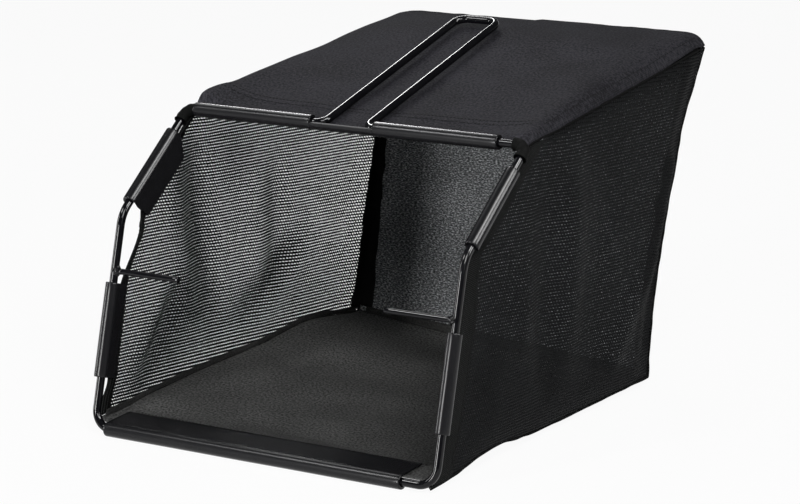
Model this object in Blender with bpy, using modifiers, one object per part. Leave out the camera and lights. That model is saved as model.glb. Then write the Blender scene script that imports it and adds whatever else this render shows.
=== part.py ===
"""Grass collection bag of a lawn scarifier: a bent steel rod frame that clips into a sewn cloth bag.

Metres, +Z up. The mouth faces -Y and the bag reaches back along +Y. The world origin lies on the
underside of the floor cloth, in the middle of its flat part.
"""
import math

import bmesh
import bpy
from mathutils import Matrix, Vector

# Frame rod, bent from one length
ROD_DIAMETER = 0.007
FRAME_WIDTH = 0.340
KINK_SETBACK = 0.0468
KINK_RISE = 0.1742
MOUTH_SETBACK = 0.1424
MOUTH_RISE = 0.2484
BOTTOM_BEND_RADIUS = 0.016
KINK_BEND_RADIUS = 0.030
TOP_BEND_RADIUS = 0.010

# Handle loop, part of the same rod
HANDLE_WIDTH = 0.0422
HANDLE_OFFSET = -0.008
HANDLE_REACH = 0.2138
HANDLE_RISE = 0.0588
HANDLE_ROOT_RADIUS = 0.009
HANDLE_END_RADIUS = 0.011

# Hook pins, welded to the lower sides
PIN_DIAMETER = 0.0052
PIN_REACH = 0.0676
PIN_RISE = 0.1275
PIN_TIP_CHAMFER = 0.0005
WELD_DIAMETER = 0.0084
WELD_LENGTH = 0.0028

# Clip profiles, extruded plastic that snaps over the rod
CLIP_WALL = 0.0024
CLIP_CLEARANCE = 0.0004
CLIP_OPEN_ANGLE = 45.0
FLANGE_THICKNESS = 0.0012
BOTTOM_FLANGE_WIDTH = 0.032
BOTTOM_FLANGE_TILT = 5.0
TOP_FLANGE_WIDTH = 0.033
UPPER_FLANGE_WIDTH = 0.026
LOWER_FLANGE_WIDTH = 0.0105
UPPER_FLANGE_MITRE = 0.75
UPPER_FLANGE_LOW_MITRE = 0.3
PROFILE_OFFSET = -0.0085
TOP_PROFILE_MARGIN = 0.035
BOTTOM_PROFILE_MARGIN = 0.044
LOWER_PROFILE_START = 0.042
LOWER_PROFILE_LENGTH = 0.080
UPPER_PROFILE_START = 0.013
UPPER_PROFILE_LENGTH = 0.080
NOTCH_MARGIN = 0.0105
NOTCH_FLOOR = 0.0005

# Cloth bag
CLOTH = 0.001
TAPE = 0.0008
GAP = 0.0003
TAPE_GAP = 0.0005
SEAM_GAP = 0.0014
MOUTH_INSET = 0.0045
KINK_SLACK = 0.019
SLACK_START = 0.010
SLACK_PEAK = 0.004
SLACK_END = 0.018
REAR_TOP_Y = 0.459
REAR_TOP_HEIGHT = 0.287
REAR_TOP_WIDTH = 0.322
REAR_CROWN = 0.0105
REAR_BOTTOM_Y = 0.376
REAR_BOTTOM_WIDTH = 0.314
REAR_LEAN_POWER = 1.8
BACK_BULGE = 0.006
SEAM_LIFT_FRONT = 0.011
SEAM_LIFT_REAR = 0.012
FLOOR_TURN_UP = 0.034
FLOOR_TOUCHDOWN = 0.070
FLOOR_TUCK = 0.006
SHOULDER_FRONT = 0.014
SHOULDER_REAR = 0.008
SHOULDER_SHARPNESS = 30
RIDGE_SHARPNESS = 8
CROWN_SHARPNESS = 2.4
RIDGE_START = 0.014
CROWN_RUN = 0.090
TOP_SAG = 0.002
CREST_BLEND = 0.006
SIDE_BULGE = 0.004
SIDE_FOLD = 0.0035
SIDE_FOLD_COUNT = 2.2
SIDE_FOLD_LEAN = 0.9
TAPE_LEG = 0.008
TAPE_END_CLEARANCE = 0.016
HEM_WIDTH = 0.006
HEM_START = 0.015
HEM_CROSSING = 0.025
BORDER = 0.010

# Net of the side panels
NET_COLUMNS = 8
NET_ROWS = 14
NET_STRAND = 0.005

# Steps along curved faces
BEND_STEPS = 6
CLIP_STEPS = 14
PANEL_STEPS = 6
HEM_STEPS = 12

# Worked out from the values above
ROD_RADIUS = ROD_DIAMETER / 2
CLIP_BORE = ROD_RADIUS + CLIP_CLEARANCE
CLIP_RADIUS = CLIP_BORE + CLIP_WALL
TOP_PROFILE_LENGTH = FRAME_WIDTH - TOP_PROFILE_MARGIN
BOTTOM_PROFILE_LENGTH = FRAME_WIDTH - BOTTOM_PROFILE_MARGIN
CLOTH_DROP = CLIP_RADIUS - FLANGE_THICKNESS - GAP - CLOTH / 2
BAR_HEIGHT = CLIP_RADIUS
HALF_FRAME = FRAME_WIDTH / 2
SKIN_TO_TAPE = CLOTH / 2 + TAPE_GAP + TAPE / 2
HANDLE_SLOPE = math.atan2(HANDLE_RISE, HANDLE_REACH)
FLOOR_CENTRE_Y = (FLOOR_TOUCHDOWN + REAR_BOTTOM_Y - FLOOR_TURN_UP) / 2

BOTTOM_CORNER = Vector((0, 0, BAR_HEIGHT))
KINK_CORNER = Vector((0, KINK_SETBACK, BAR_HEIGHT + KINK_RISE))
TOP_CORNER = Vector((0, MOUTH_SETBACK, BAR_HEIGHT + MOUTH_RISE))
LOWER_RUN = (KINK_CORNER - BOTTOM_CORNER).normalized()
UPPER_RUN = (TOP_CORNER - KINK_CORNER).normalized()
LOWER_LENGTH = (KINK_CORNER - BOTTOM_CORNER).length
UPPER_LENGTH = (TOP_CORNER - KINK_CORNER).length


# Scene, collections and materials

def clear_scene():
    for leftover in list(bpy.data.objects):
        bpy.data.objects.remove(leftover, do_unlink=True)


def new_collection(name):
    collection = bpy.data.collections.new(name)
    bpy.context.scene.collection.children.link(collection)
    return collection


def new_material(name, colour, roughness, metallic=0.0):
    material = bpy.data.materials.new(name)
    material.use_nodes = True
    shader = material.node_tree.nodes["Principled BSDF"]
    shader.inputs["Base Color"].default_value = (*colour, 1.0)
    shader.inputs["Roughness"].default_value = roughness
    shader.inputs["Metallic"].default_value = metallic
    return material


clear_scene()
PARTS = new_collection("grass_collection_bag")
CUTTERS = new_collection("cutters")

PAINTED_STEEL = new_material("gloss_black_rod", (0.012, 0.012, 0.013), 0.25)
WELD_STEEL = new_material("painted_pin", (0.014, 0.014, 0.015), 0.30)
CLIP_PLASTIC = new_material("black_profile", (0.020, 0.020, 0.021), 0.38)
COATED_CLOTH = new_material("coated_cloth", (0.030, 0.030, 0.034), 0.85)
FLOOR_CLOTH = new_material("floor_cloth", (0.018, 0.019, 0.019), 0.80)
BACK_CLOTH = new_material("back_cloth", (0.022, 0.023, 0.024), 0.85)
NET_CLOTH = new_material("net_cloth", (0.016, 0.016, 0.017), 0.75)
BINDING = new_material("binding_tape", (0.012, 0.012, 0.012), 0.80)

ORIGIN = bpy.data.objects.new("bag_origin", None)
ORIGIN.location = (0, -FLOOR_CENTRE_Y, 0)
PARTS.objects.link(ORIGIN)


# General helpers

def smoothstep(x):
    x = min(1.0, max(0.0, x))
    return x * x * (3 - 2 * x)


def lerp(a, b, t):
    return a + (b - a) * t


def add_part(thing, material):
    """Put a finished object in the parts collection, held by the bag's origin."""
    for owner in list(thing.users_collection):
        owner.objects.unlink(thing)
    PARTS.objects.link(thing)
    thing.parent = ORIGIN
    thing.data.materials.clear()
    thing.data.materials.append(material)
    return thing


def shade_round(thing, angle=35.0):
    thing.data.shade_smooth()
    thing.data.set_sharp_from_angle(angle=math.radians(angle))


def mesh_from_curve(thing):
    """Turn a curve object into a mesh object with its caps welded on."""
    bpy.context.view_layer.update()
    evaluated = thing.evaluated_get(bpy.context.evaluated_depsgraph_get())
    mesh = bpy.data.meshes.new_from_object(evaluated)
    builder = bmesh.new()
    builder.from_mesh(mesh)
    bmesh.ops.remove_doubles(builder, verts=builder.verts, dist=0.00001)
    bmesh.ops.recalc_face_normals(builder, faces=builder.faces)
    builder.to_mesh(mesh)
    builder.free()
    solid = bpy.data.objects.new(thing.name + "_solid", mesh)
    solid.matrix_world = thing.matrix_world.copy()
    name = thing.name
    bpy.data.objects.remove(thing, do_unlink=True)
    solid.name = name
    PARTS.objects.link(solid)
    return solid


def cut(target, cutter):
    """Take the cutter's volume out of the target."""
    CUTTERS.objects.link(cutter)
    cutter.hide_render = True
    cutter.display_type = "WIRE"
    cutter.parent = ORIGIN
    boolean = target.modifiers.new("cut_" + cutter.name, "BOOLEAN")
    boolean.operation = "DIFFERENCE"
    boolean.solver = "EXACT"
    boolean.object = cutter


def box_cutter(name, low, high):
    mesh = bpy.data.meshes.new(name)
    builder = bmesh.new()
    bmesh.ops.create_cube(builder, size=1.0)
    centre = (low + high) / 2
    size = high - low
    bmesh.ops.scale(builder, vec=size, verts=builder.verts)
    bmesh.ops.translate(builder, vec=centre, verts=builder.verts)
    builder.to_mesh(mesh)
    builder.free()
    return bpy.data.objects.new(name, mesh)


def axes_matrix(x_axis, y_axis, z_axis, place):
    matrix = Matrix((x_axis, y_axis, z_axis)).transposed().to_4x4()
    matrix.translation = place
    return matrix


# Frame rod and hook pins

def corner_arc(before, corner, after, radius):
    """Points of the arc that rounds one corner of a path."""
    back = (before - corner).normalized()
    ahead = (after - corner).normalized()
    opening = back.angle(ahead)
    centre = corner + (back + ahead).normalized() * radius / math.sin(opening / 2)
    start = corner + back * radius / math.tan(opening / 2)
    axis = (start - centre).cross(corner - start).normalized()
    sweep = math.pi - opening
    points = []
    for step in range(BEND_STEPS + 1):
        turn = Matrix.Rotation(sweep * step / BEND_STEPS, 3, axis)
        points.append(centre + turn @ (start - centre))
    return points


def rounded_loop(corners):
    """Closed path through (corner, bend radius) pairs with every corner rounded."""
    points = []
    for index, (corner, radius) in enumerate(corners):
        before = corners[index - 1][0]
        after = corners[(index + 1) % len(corners)][0]
        points.extend(corner_arc(before, corner, after, radius))
    return points


def rod_curve(name, points, diameter, cyclic):
    curve = bpy.data.curves.new(name, "CURVE")
    curve.dimensions = "3D"
    curve.bevel_depth = diameter / 2
    curve.bevel_resolution = 3
    curve.use_fill_caps = not cyclic
    spline = curve.splines.new("POLY")
    spline.points.add(len(points) - 1)
    for target, point in zip(spline.points, points):
        target.co = (*point, 1.0)
    spline.use_cyclic_u = cyclic
    return bpy.data.objects.new(name, curve)


def side_shift(side):
    return Vector((side * HALF_FRAME, 0, 0))


def build_frame_rod():
    half_handle = HANDLE_WIDTH / 2
    handle_end = TOP_CORNER + Vector((0, HANDLE_REACH, HANDLE_RISE))
    corners = []
    for side in (1, -1):
        root = Vector((HANDLE_OFFSET + side * half_handle, 0, 0))
        half = [
            (BOTTOM_CORNER + side_shift(side), BOTTOM_BEND_RADIUS),
            (KINK_CORNER + side_shift(side), KINK_BEND_RADIUS),
            (TOP_CORNER + side_shift(side), TOP_BEND_RADIUS),
            (TOP_CORNER + root, HANDLE_ROOT_RADIUS),
            (handle_end + root, HANDLE_END_RADIUS),
        ]
        corners.extend(half if side == 1 else reversed(half))
    frame = rod_curve("frame_rod", rounded_loop(corners), ROD_DIAMETER, True)
    return add_part(mesh_from_curve(frame), PAINTED_STEEL)


def build_hook_pin(side, label):
    """Turned pin with a weld bead at its root, hollowed to sit on the round of the rod."""
    name = label + "_hook_pin"
    weld = WELD_DIAMETER / 2
    pin = PIN_DIAMETER / 2
    tip = PIN_REACH
    root = ROD_RADIUS * 0.5
    outline = [
        (0, tip),
        (pin - PIN_TIP_CHAMFER, tip),
        (pin, tip - PIN_TIP_CHAMFER),
        (pin, ROD_RADIUS + WELD_LENGTH),
        (lerp(pin, weld, 0.55), ROD_RADIUS + WELD_LENGTH * 0.45),
        (weld, ROD_RADIUS),
        (weld, root),
        (0, root),
    ]
    mesh = bpy.data.meshes.new(name)
    builder = bmesh.new()
    verts = [builder.verts.new((radius, 0, height)) for radius, height in outline]
    for first, second in zip(verts, verts[1:]):
        builder.edges.new((first, second))
    builder.to_mesh(mesh)
    builder.free()
    thing = bpy.data.objects.new(name, mesh)
    screw = thing.modifiers.new("turn", "SCREW")
    screw.axis = "Z"
    screw.steps = 16
    screw.render_steps = 16
    screw.use_merge_vertices = True
    screw.merge_threshold = 0.0001
    place = BOTTOM_CORNER + LOWER_RUN * PIN_RISE / LOWER_RUN.z + side_shift(side)
    thing.matrix_world = axes_matrix(LOWER_RUN.cross(Vector((-side, 0, 0))), LOWER_RUN,
                                     Vector((-side, 0, 0)), place)
    add_part(thing, WELD_STEEL)
    seat_mesh = bpy.data.meshes.new(name + "_seat")
    builder = bmesh.new()
    bmesh.ops.create_cone(builder, cap_ends=True, segments=24, radius1=ROD_RADIUS + GAP,
                          radius2=ROD_RADIUS + GAP, depth=ROD_DIAMETER * 4)
    builder.to_mesh(seat_mesh)
    builder.free()
    seat = bpy.data.objects.new(name + "_seat", seat_mesh)
    seat.matrix_world = axes_matrix(Vector((side, 0, 0)), LOWER_RUN.cross(Vector((side, 0, 0))),
                                    LOWER_RUN, place)
    cut(thing, seat)
    shade_round(thing)
    return thing


# Clip profiles

def clip_section(flange_width, flange_tilt):
    """Outline of the extrusion: an open ring round the rod and a flange along the cloth.

    First coordinate away from the mouth along the cloth, second towards the inside of the bag.
    """
    ring_end = math.radians(360 - CLIP_OPEN_ANGLE)
    tilt = math.radians(flange_tilt)
    start = math.pi / 2 + tilt
    along = Vector((math.cos(tilt), math.sin(tilt)))
    across = Vector((-math.sin(tilt), math.cos(tilt)))
    rounding = FLANGE_THICKNESS * 0.35
    flange_face = CLIP_RADIUS - FLANGE_THICKNESS
    points = [
        across * (flange_face + rounding) + along * flange_width,
        across * (CLIP_RADIUS - rounding) + along * flange_width,
        across * CLIP_RADIUS + along * (flange_width - rounding),
    ]
    for step in range(CLIP_STEPS + 1):
        angle = lerp(start, ring_end, step / CLIP_STEPS)
        points.append(Vector((math.cos(angle), math.sin(angle))) * CLIP_RADIUS)
    middle = (CLIP_BORE + CLIP_RADIUS) / 2
    lip = ring_end + CLIP_WALL * 0.5 / middle
    points.append(Vector((math.cos(lip), math.sin(lip))) * middle)
    for step in range(CLIP_STEPS + 1):
        angle = lerp(ring_end, start, step / CLIP_STEPS)
        points.append(Vector((math.cos(angle), math.sin(angle))) * CLIP_BORE)
    points.append(across * flange_face)
    points.append(across * flange_face + along * (flange_width - rounding))
    return points


def clip_profile(name, start, end, inward, section, mitre_start=0.0, mitre_end=0.0):
    """Extrude a clip section along the rod from start to end, with mitred flange ends."""
    run = (end - start).normalized()
    rearward = inward.cross(run)
    flip = rearward.y < 0
    if flip:
        run = -run
        rearward = -rearward
        mitre_start, mitre_end = mitre_end, mitre_start
    curve = bpy.data.curves.new(name, "CURVE")
    curve.dimensions = "2D"
    curve.fill_mode = "BOTH"
    curve.extrude = (end - start).length / 2
    spline = curve.splines.new("POLY")
    spline.points.add(len(section) - 1)
    for target, point in zip(spline.points, section):
        target.co = (point.x, point.y, 0.0, 1.0)
    spline.use_cyclic_u = True
    thing = bpy.data.objects.new(name, curve)
    PARTS.objects.link(thing)
    thing.matrix_world = axes_matrix(rearward, inward, run, (start + end) / 2)
    solid = mesh_from_curve(thing)
    for vertex in solid.data.vertices:
        beyond = max(0.0, vertex.co.x - CLIP_RADIUS)
        if vertex.co.z > 0:
            vertex.co.z -= beyond * mitre_end
        else:
            vertex.co.z += beyond * mitre_start
    return add_part(solid, CLIP_PLASTIC)


def build_bottom_profile():
    middle = BOTTOM_CORNER + Vector((PROFILE_OFFSET, 0, 0))
    half = Vector((BOTTOM_PROFILE_LENGTH / 2, 0, 0))
    section = clip_section(BOTTOM_FLANGE_WIDTH, BOTTOM_FLANGE_TILT)
    thing = clip_profile("bottom_profile", middle - half, middle + half, Vector((0, 0, 1)), section)
    shade_round(thing)


def build_top_profile():
    """The handle passes out through a notch in the upper lip."""
    middle = TOP_CORNER + Vector((PROFILE_OFFSET, 0, 0))
    half = Vector((TOP_PROFILE_LENGTH / 2, 0, 0))
    section = clip_section(TOP_FLANGE_WIDTH, -math.degrees(HANDLE_SLOPE))
    thing = clip_profile("top_profile", middle - half, middle + half, Vector((0, 0, -1)), section)
    reach = HANDLE_WIDTH / 2 + NOTCH_MARGIN
    low = TOP_CORNER + Vector((HANDLE_OFFSET - reach, -CLIP_RADIUS * 2, NOTCH_FLOOR))
    high = TOP_CORNER + Vector((HANDLE_OFFSET + reach, CLIP_RADIUS * 2, CLIP_RADIUS * 2))
    cut(thing, box_cutter("handle_notch", low, high))
    shade_round(thing)


def build_side_profiles(side, label):
    inward = Vector((-side, 0, 0))
    shift = side_shift(side)
    start = BOTTOM_CORNER + LOWER_RUN * LOWER_PROFILE_START + shift
    end = start + LOWER_RUN * LOWER_PROFILE_LENGTH
    section = clip_section(LOWER_FLANGE_WIDTH, 0.0)
    shade_round(clip_profile(label + "_lower_profile", start, end, inward, section))
    start = KINK_CORNER + UPPER_RUN * UPPER_PROFILE_START + shift
    end = start + UPPER_RUN * UPPER_PROFILE_LENGTH
    section = clip_section(UPPER_FLANGE_WIDTH, 0.0)
    shade_round(clip_profile(label + "_upper_profile", start, end, inward, section,
                             UPPER_FLANGE_LOW_MITRE, UPPER_FLANGE_MITRE))


# Shape of the bag: seam lines shared by the panels that meet there

def frame_side(arc):
    """Point and rearward direction on the frame's side, arc metres above the bottom corner."""
    lower_back = Vector((0, LOWER_RUN.z, -LOWER_RUN.y))
    upper_back = Vector((0, UPPER_RUN.z, -UPPER_RUN.y))
    blend = smoothstep(0.5 + (arc - LOWER_LENGTH) / (2 * KINK_BEND_RADIUS))
    back = lower_back.lerp(upper_back, blend).normalized()
    if arc < LOWER_LENGTH:
        return BOTTOM_CORNER + LOWER_RUN * arc, back
    return KINK_CORNER + UPPER_RUN * (arc - LOWER_LENGTH), back


def kink_slack(arc):
    """How far the bare edge stands back: most just below the upper profile, none under its middle."""
    low = LOWER_PROFILE_START + LOWER_PROFILE_LENGTH - SLACK_START
    peak = LOWER_LENGTH - SLACK_PEAK
    high = LOWER_LENGTH + UPPER_PROFILE_START + SLACK_END
    return KINK_SLACK * smoothstep(min((arc - low) / (peak - low), (high - arc) / (high - peak)))


def mouth_arc(v):
    return lerp(SEAM_LIFT_FRONT - BAR_HEIGHT, LOWER_LENGTH + UPPER_LENGTH, v)


def mouth_seam(side, v):
    """Front edge of a side panel: along the clips, standing back from the rod at the kink."""
    arc = mouth_arc(v)
    point, back = frame_side(arc)
    point = point + back * (MOUTH_INSET + kink_slack(arc))
    return Vector((side * (HALF_FRAME - CLOTH_DROP), point.y, point.z))


def rear_seam(side, v):
    """Upright rear corner, leaning back towards the top."""
    lean = v ** REAR_LEAN_POWER
    return Vector((side * lerp(REAR_BOTTOM_WIDTH, REAR_TOP_WIDTH, v) / 2,
                   lerp(REAR_BOTTOM_Y, REAR_TOP_Y, lean),
                   lerp(SEAM_LIFT_REAR, REAR_TOP_HEIGHT, v)))


def past_clips(u, length):
    """Share of the way from the clips' flanges to the rear, 0 where the cloth lies on a flange."""
    flat = UPPER_FLANGE_WIDTH
    return max(0.0, (u * length - flat) / (length - flat))


def floor_seam(side, u):
    """Bottom side seam, tucked in under the bag between the mouth and the rear corner."""
    front = mouth_seam(side, 0.0)
    rear = rear_seam(side, 0.0)
    point = front.lerp(rear, u)
    w = past_clips(u, rear.y - front.y)
    point.x = lerp(front.x, rear.x, w) - side * FLOOR_TUCK * math.sin(math.pi * w) ** 2
    return point


def top_seam(side, u):
    """Top side seam, a little slack between its ends."""
    front = mouth_seam(side, 1.0)
    rear = rear_seam(side, 1.0)
    point = front.lerp(rear, u)
    point.x = lerp(front.x, rear.x, past_clips(u, rear.y - front.y))
    return point


# Panels as surfaces over (u, v), each from 0 to 1

def floor_point(u, v):
    """u from left to right, v from the mouth to the rear."""
    left = floor_seam(-1, v)
    right = floor_seam(1, v)
    point = left.lerp(right, u)
    tilt = math.radians(BOTTOM_FLANGE_TILT)
    under_flange = BAR_HEIGHT + CLOTH_DROP / math.cos(tilt) + point.y * math.tan(tilt)
    ground = CLOTH / 2
    settle = smoothstep((point.y - BOTTOM_FLANGE_WIDTH) / (FLOOR_TOUCHDOWN - BOTTOM_FLANGE_WIDTH))
    front = lerp(under_flange, ground, settle)
    side_turn = max(0.0, 1 - min(point.x - left.x, right.x - point.x) / lerp(BORDER, FLOOR_TURN_UP, settle))
    rear_turn = max(0.0, 1 - (REAR_BOTTOM_Y - point.y) / FLOOR_TURN_UP)
    turn = 1 - (1 - side_turn) * (1 - rear_turn)
    point.z = lerp(front, left.z, turn * turn)
    return point


def under_handle(y):
    """Height of the cloth's middle where it lies on the top flange and just under the handle."""
    return TOP_CORNER.z - CLOTH_DROP / math.cos(HANDLE_SLOPE) + (y - TOP_CORNER.y) * math.tan(HANDLE_SLOPE)


def top_middle(y):
    """Height of the top cloth along its middle: on the flange, under the handle, down to the rear."""
    crest_y = TOP_CORNER.y + HANDLE_REACH
    flange_end = TOP_CORNER.y + TOP_FLANGE_WIDTH
    sag = TOP_SAG * math.sin(math.pi * min(1.0, max(0.0, (y - flange_end) / (crest_y - flange_end))))
    rising = under_handle(y) - sag
    peak = under_handle(crest_y + ROD_RADIUS)
    falling = lerp(peak, REAR_TOP_HEIGHT + REAR_CROWN, (y - crest_y) / (REAR_TOP_Y - crest_y))
    if y < flange_end:
        return rising
    difference = falling - rising
    return (rising + falling - math.hypot(difference, CREST_BLEND)) / 2


def top_point(u, v):
    """u from left to right, v from the mouth to the rear."""
    left = top_seam(-1, v)
    point = left.lerp(top_seam(1, v), u)
    across = abs(2 * u - 1)
    growth = smoothstep((point.y - TOP_CORNER.y - MOUTH_INSET) / RIDGE_START)
    shoulder = lerp(SHOULDER_FRONT, SHOULDER_REAR, v) * growth
    behind = (point.y - TOP_CORNER.y - TOP_FLANGE_WIDTH) / CROWN_RUN
    power = lerp(RIDGE_SHARPNESS, CROWN_SHARPNESS, smoothstep(behind))
    point.z = lerp(top_middle(point.y), left.z + shoulder, across ** power)
    point.z -= shoulder * across ** SHOULDER_SHARPNESS
    return point


def back_point(u, v):
    """u from left to right, v from the floor to the top."""
    point = rear_seam(-1, v).lerp(rear_seam(1, v), u)
    across = 1 - (2 * u - 1) ** 2
    point.y += BACK_BULGE * across * math.sin(math.pi * v)
    point.z += (top_point(u, 1.0).z - REAR_TOP_HEIGHT) * v ** 6
    return point


def side_point(side, u, v):
    """Coons patch between the four seams, u from the mouth to the rear, v from floor to top."""
    low = floor_seam(side, u)
    high = top_seam(side, u)
    front = mouth_seam(side, v)
    rear = rear_seam(side, v)
    corners = [mouth_seam(side, 0.0), rear_seam(side, 0.0), mouth_seam(side, 1.0), rear_seam(side, 1.0)]
    w = past_clips(u, rear.y - front.y)

    def patch(t, axis):
        bilinear = lerp(lerp(corners[0][axis], corners[1][axis], t), lerp(corners[2][axis], corners[3][axis], t), v)
        return lerp(low[axis], high[axis], v) + lerp(front[axis], rear[axis], t) - bilinear

    hold = math.sin(math.pi * w) * math.sin(math.pi * v)
    fold = math.sin(2 * math.pi * (w * SIDE_FOLD_COUNT - v * SIDE_FOLD_LEAN)) * SIDE_FOLD
    return Vector((patch(w, 0) + side * (SIDE_BULGE + fold) * hold, patch(u, 1), patch(u, 2)))


def surface_normal(surface, u, v, towards):
    """Unit normal of a surface, turned to face a point."""
    step = 0.002
    u0, u1 = max(0.0, u - step), min(1.0, u + step)
    v0, v1 = max(0.0, v - step), min(1.0, v + step)
    normal = (surface(u1, v) - surface(u0, v)).cross(surface(u, v1) - surface(u, v0)).normalized()
    if normal.dot(towards - surface(u, v)) < 0:
        normal = -normal
    return normal


BAG_MIDDLE = Vector((0, lerp(MOUTH_SETBACK, REAR_TOP_Y, 0.4), REAR_TOP_HEIGHT * 0.45))


def sheet_object(name, rows, thickness, material, holes=()):
    """Solid cloth from a grid of points, with the cells in holes left open."""
    mesh = bpy.data.meshes.new(name)
    builder = bmesh.new()
    grid = [[builder.verts.new(point) for point in row] for row in rows]
    for j in range(len(grid) - 1):
        for i in range(len(grid[0]) - 1):
            if (i, j) not in holes:
                builder.faces.new((grid[j][i], grid[j][i + 1], grid[j + 1][i + 1], grid[j + 1][i]))
    bmesh.ops.recalc_face_normals(builder, faces=builder.faces)
    builder.to_mesh(mesh)
    builder.free()
    thing = bpy.data.objects.new(name, mesh)
    solid = thing.modifiers.new("thickness", "SOLIDIFY")
    solid.thickness = thickness
    solid.offset = 0.0
    add_part(thing, material)
    thing.data.shade_smooth()
    return thing


def spread(count, low, high):
    """Even steps from low to high."""
    return [lerp(low, high, step / count) for step in range(count + 1)]


def panel_steps(length, first, last):
    """Steps across a panel, closer together in the borders that turn or lie on a flange."""
    low = [distance / length for distance in first]
    high = [1 - distance / length for distance in reversed(last)]
    return low[:-1] + spread(PANEL_STEPS, low[-1], high[0]) + high[1:]


def net_steps(count, length, first, last):
    """Steps across a net: a border, then an opening and a strand in turn, and a border."""
    low = first[-1] / length
    strand = NET_STRAND / length
    opening = (1 - last[-1] / length - low - strand * (count - 1)) / count
    steps = [distance / length for distance in first]
    for _ in range(count):
        steps.append(steps[-1] + opening)
        steps.append(steps[-1] + strand)
    return steps[:-1] + [1 - distance / length for distance in reversed(last[:-1])]


SEAM_STEPS = (SEAM_GAP, TAPE_LEG, TAPE_END_CLEARANCE, FLOOR_TURN_UP * 0.6, FLOOR_TURN_UP)
TOP_FRONT_STEPS = (0.0, TOP_FLANGE_WIDTH * 0.35, TOP_FLANGE_WIDTH - MOUTH_INSET,
                   TOP_FLANGE_WIDTH + CROWN_RUN * 0.2, TOP_FLANGE_WIDTH + CROWN_RUN * 0.45,
                   TOP_FLANGE_WIDTH + CROWN_RUN * 0.7)
FLOOR_FRONT_STEPS = (0.0, BOTTOM_FLANGE_WIDTH - MOUTH_INSET,
                     lerp(BOTTOM_FLANGE_WIDTH, FLOOR_TOUCHDOWN, 0.3),
                     lerp(BOTTOM_FLANGE_WIDTH, FLOOR_TOUCHDOWN, 0.6), FLOOR_TOUCHDOWN)
ACROSS = panel_steps(REAR_TOP_WIDTH, SEAM_STEPS, SEAM_STEPS)
TOP_ALONG = panel_steps(REAR_TOP_Y - MOUTH_SETBACK, TOP_FRONT_STEPS, SEAM_STEPS[:4])
FLOOR_ALONG = panel_steps(REAR_BOTTOM_Y, FLOOR_FRONT_STEPS, SEAM_STEPS)
BACK_UP = panel_steps(REAR_TOP_HEIGHT, SEAM_STEPS[:3], SEAM_STEPS[:4])


def build_panels():
    rows = [[top_point(u, v) for u in ACROSS] for v in TOP_ALONG]
    sheet_object("top_panel", rows, CLOTH, COATED_CLOTH)
    rows = [[floor_point(u, v) for u in ACROSS] for v in FLOOR_ALONG]
    sheet_object("floor_panel", rows, CLOTH, FLOOR_CLOTH)
    rows = [[back_point(u, v) for u in ACROSS] for v in BACK_UP]
    sheet_object("back_panel", rows, CLOTH, BACK_CLOTH)


def build_net_panel(side, label):
    depth = REAR_TOP_Y - MOUTH_SETBACK
    mouth_border = (0.0, UPPER_FLANGE_WIDTH)
    seam_border = (SEAM_GAP, BORDER)
    columns = net_steps(NET_COLUMNS, depth, mouth_border, seam_border)
    levels = net_steps(NET_ROWS, REAR_TOP_HEIGHT, seam_border, seam_border)
    rows = [[side_point(side, u, v) for u in columns] for v in levels]
    holes = {(2 * i + 1, 2 * j + 1) for i in range(NET_COLUMNS) for j in range(NET_ROWS)}
    sheet_object(label + "_net_panel", rows, CLOTH, NET_CLOTH, holes)


# Binding tapes folded into the seams, on the inside of the bag

def seam_tape(name, first, second, length, steps, start=TAPE_END_CLEARANCE):
    """Tape in the angle between two panels.

    first and second give, for a place s along the seam and a distance d from it, the point and
    the inward normal of each panel.
    """
    nearly = 0.9999
    rows = []
    for s in [step for step in steps if start * nearly <= step * length <= length - TAPE_END_CLEARANCE * nearly]:
        point_a, normal_a = first(s, TAPE_LEG)
        point_b, normal_b = second(s, TAPE_LEG)
        corner_a, corner_normal_a = first(s, 0.0)
        corner_b, corner_normal_b = second(s, 0.0)
        bisector = (corner_normal_a + corner_normal_b) / (1 + corner_normal_a.dot(corner_normal_b))
        rows.append([point_a + normal_a * SKIN_TO_TAPE,
                     (corner_a + corner_b) / 2 + bisector * SKIN_TO_TAPE,
                     point_b + normal_b * SKIN_TO_TAPE])
    sheet_object(name, rows, TAPE, BINDING)


def seam_side_of(surface, place):
    """Wrap a surface so that it reads (place along the seam, distance from it)."""
    def read(s, distance):
        u, v = place(s, distance)
        return surface(u, v), surface_normal(surface, u, v, BAG_MIDDLE)
    return read


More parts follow.
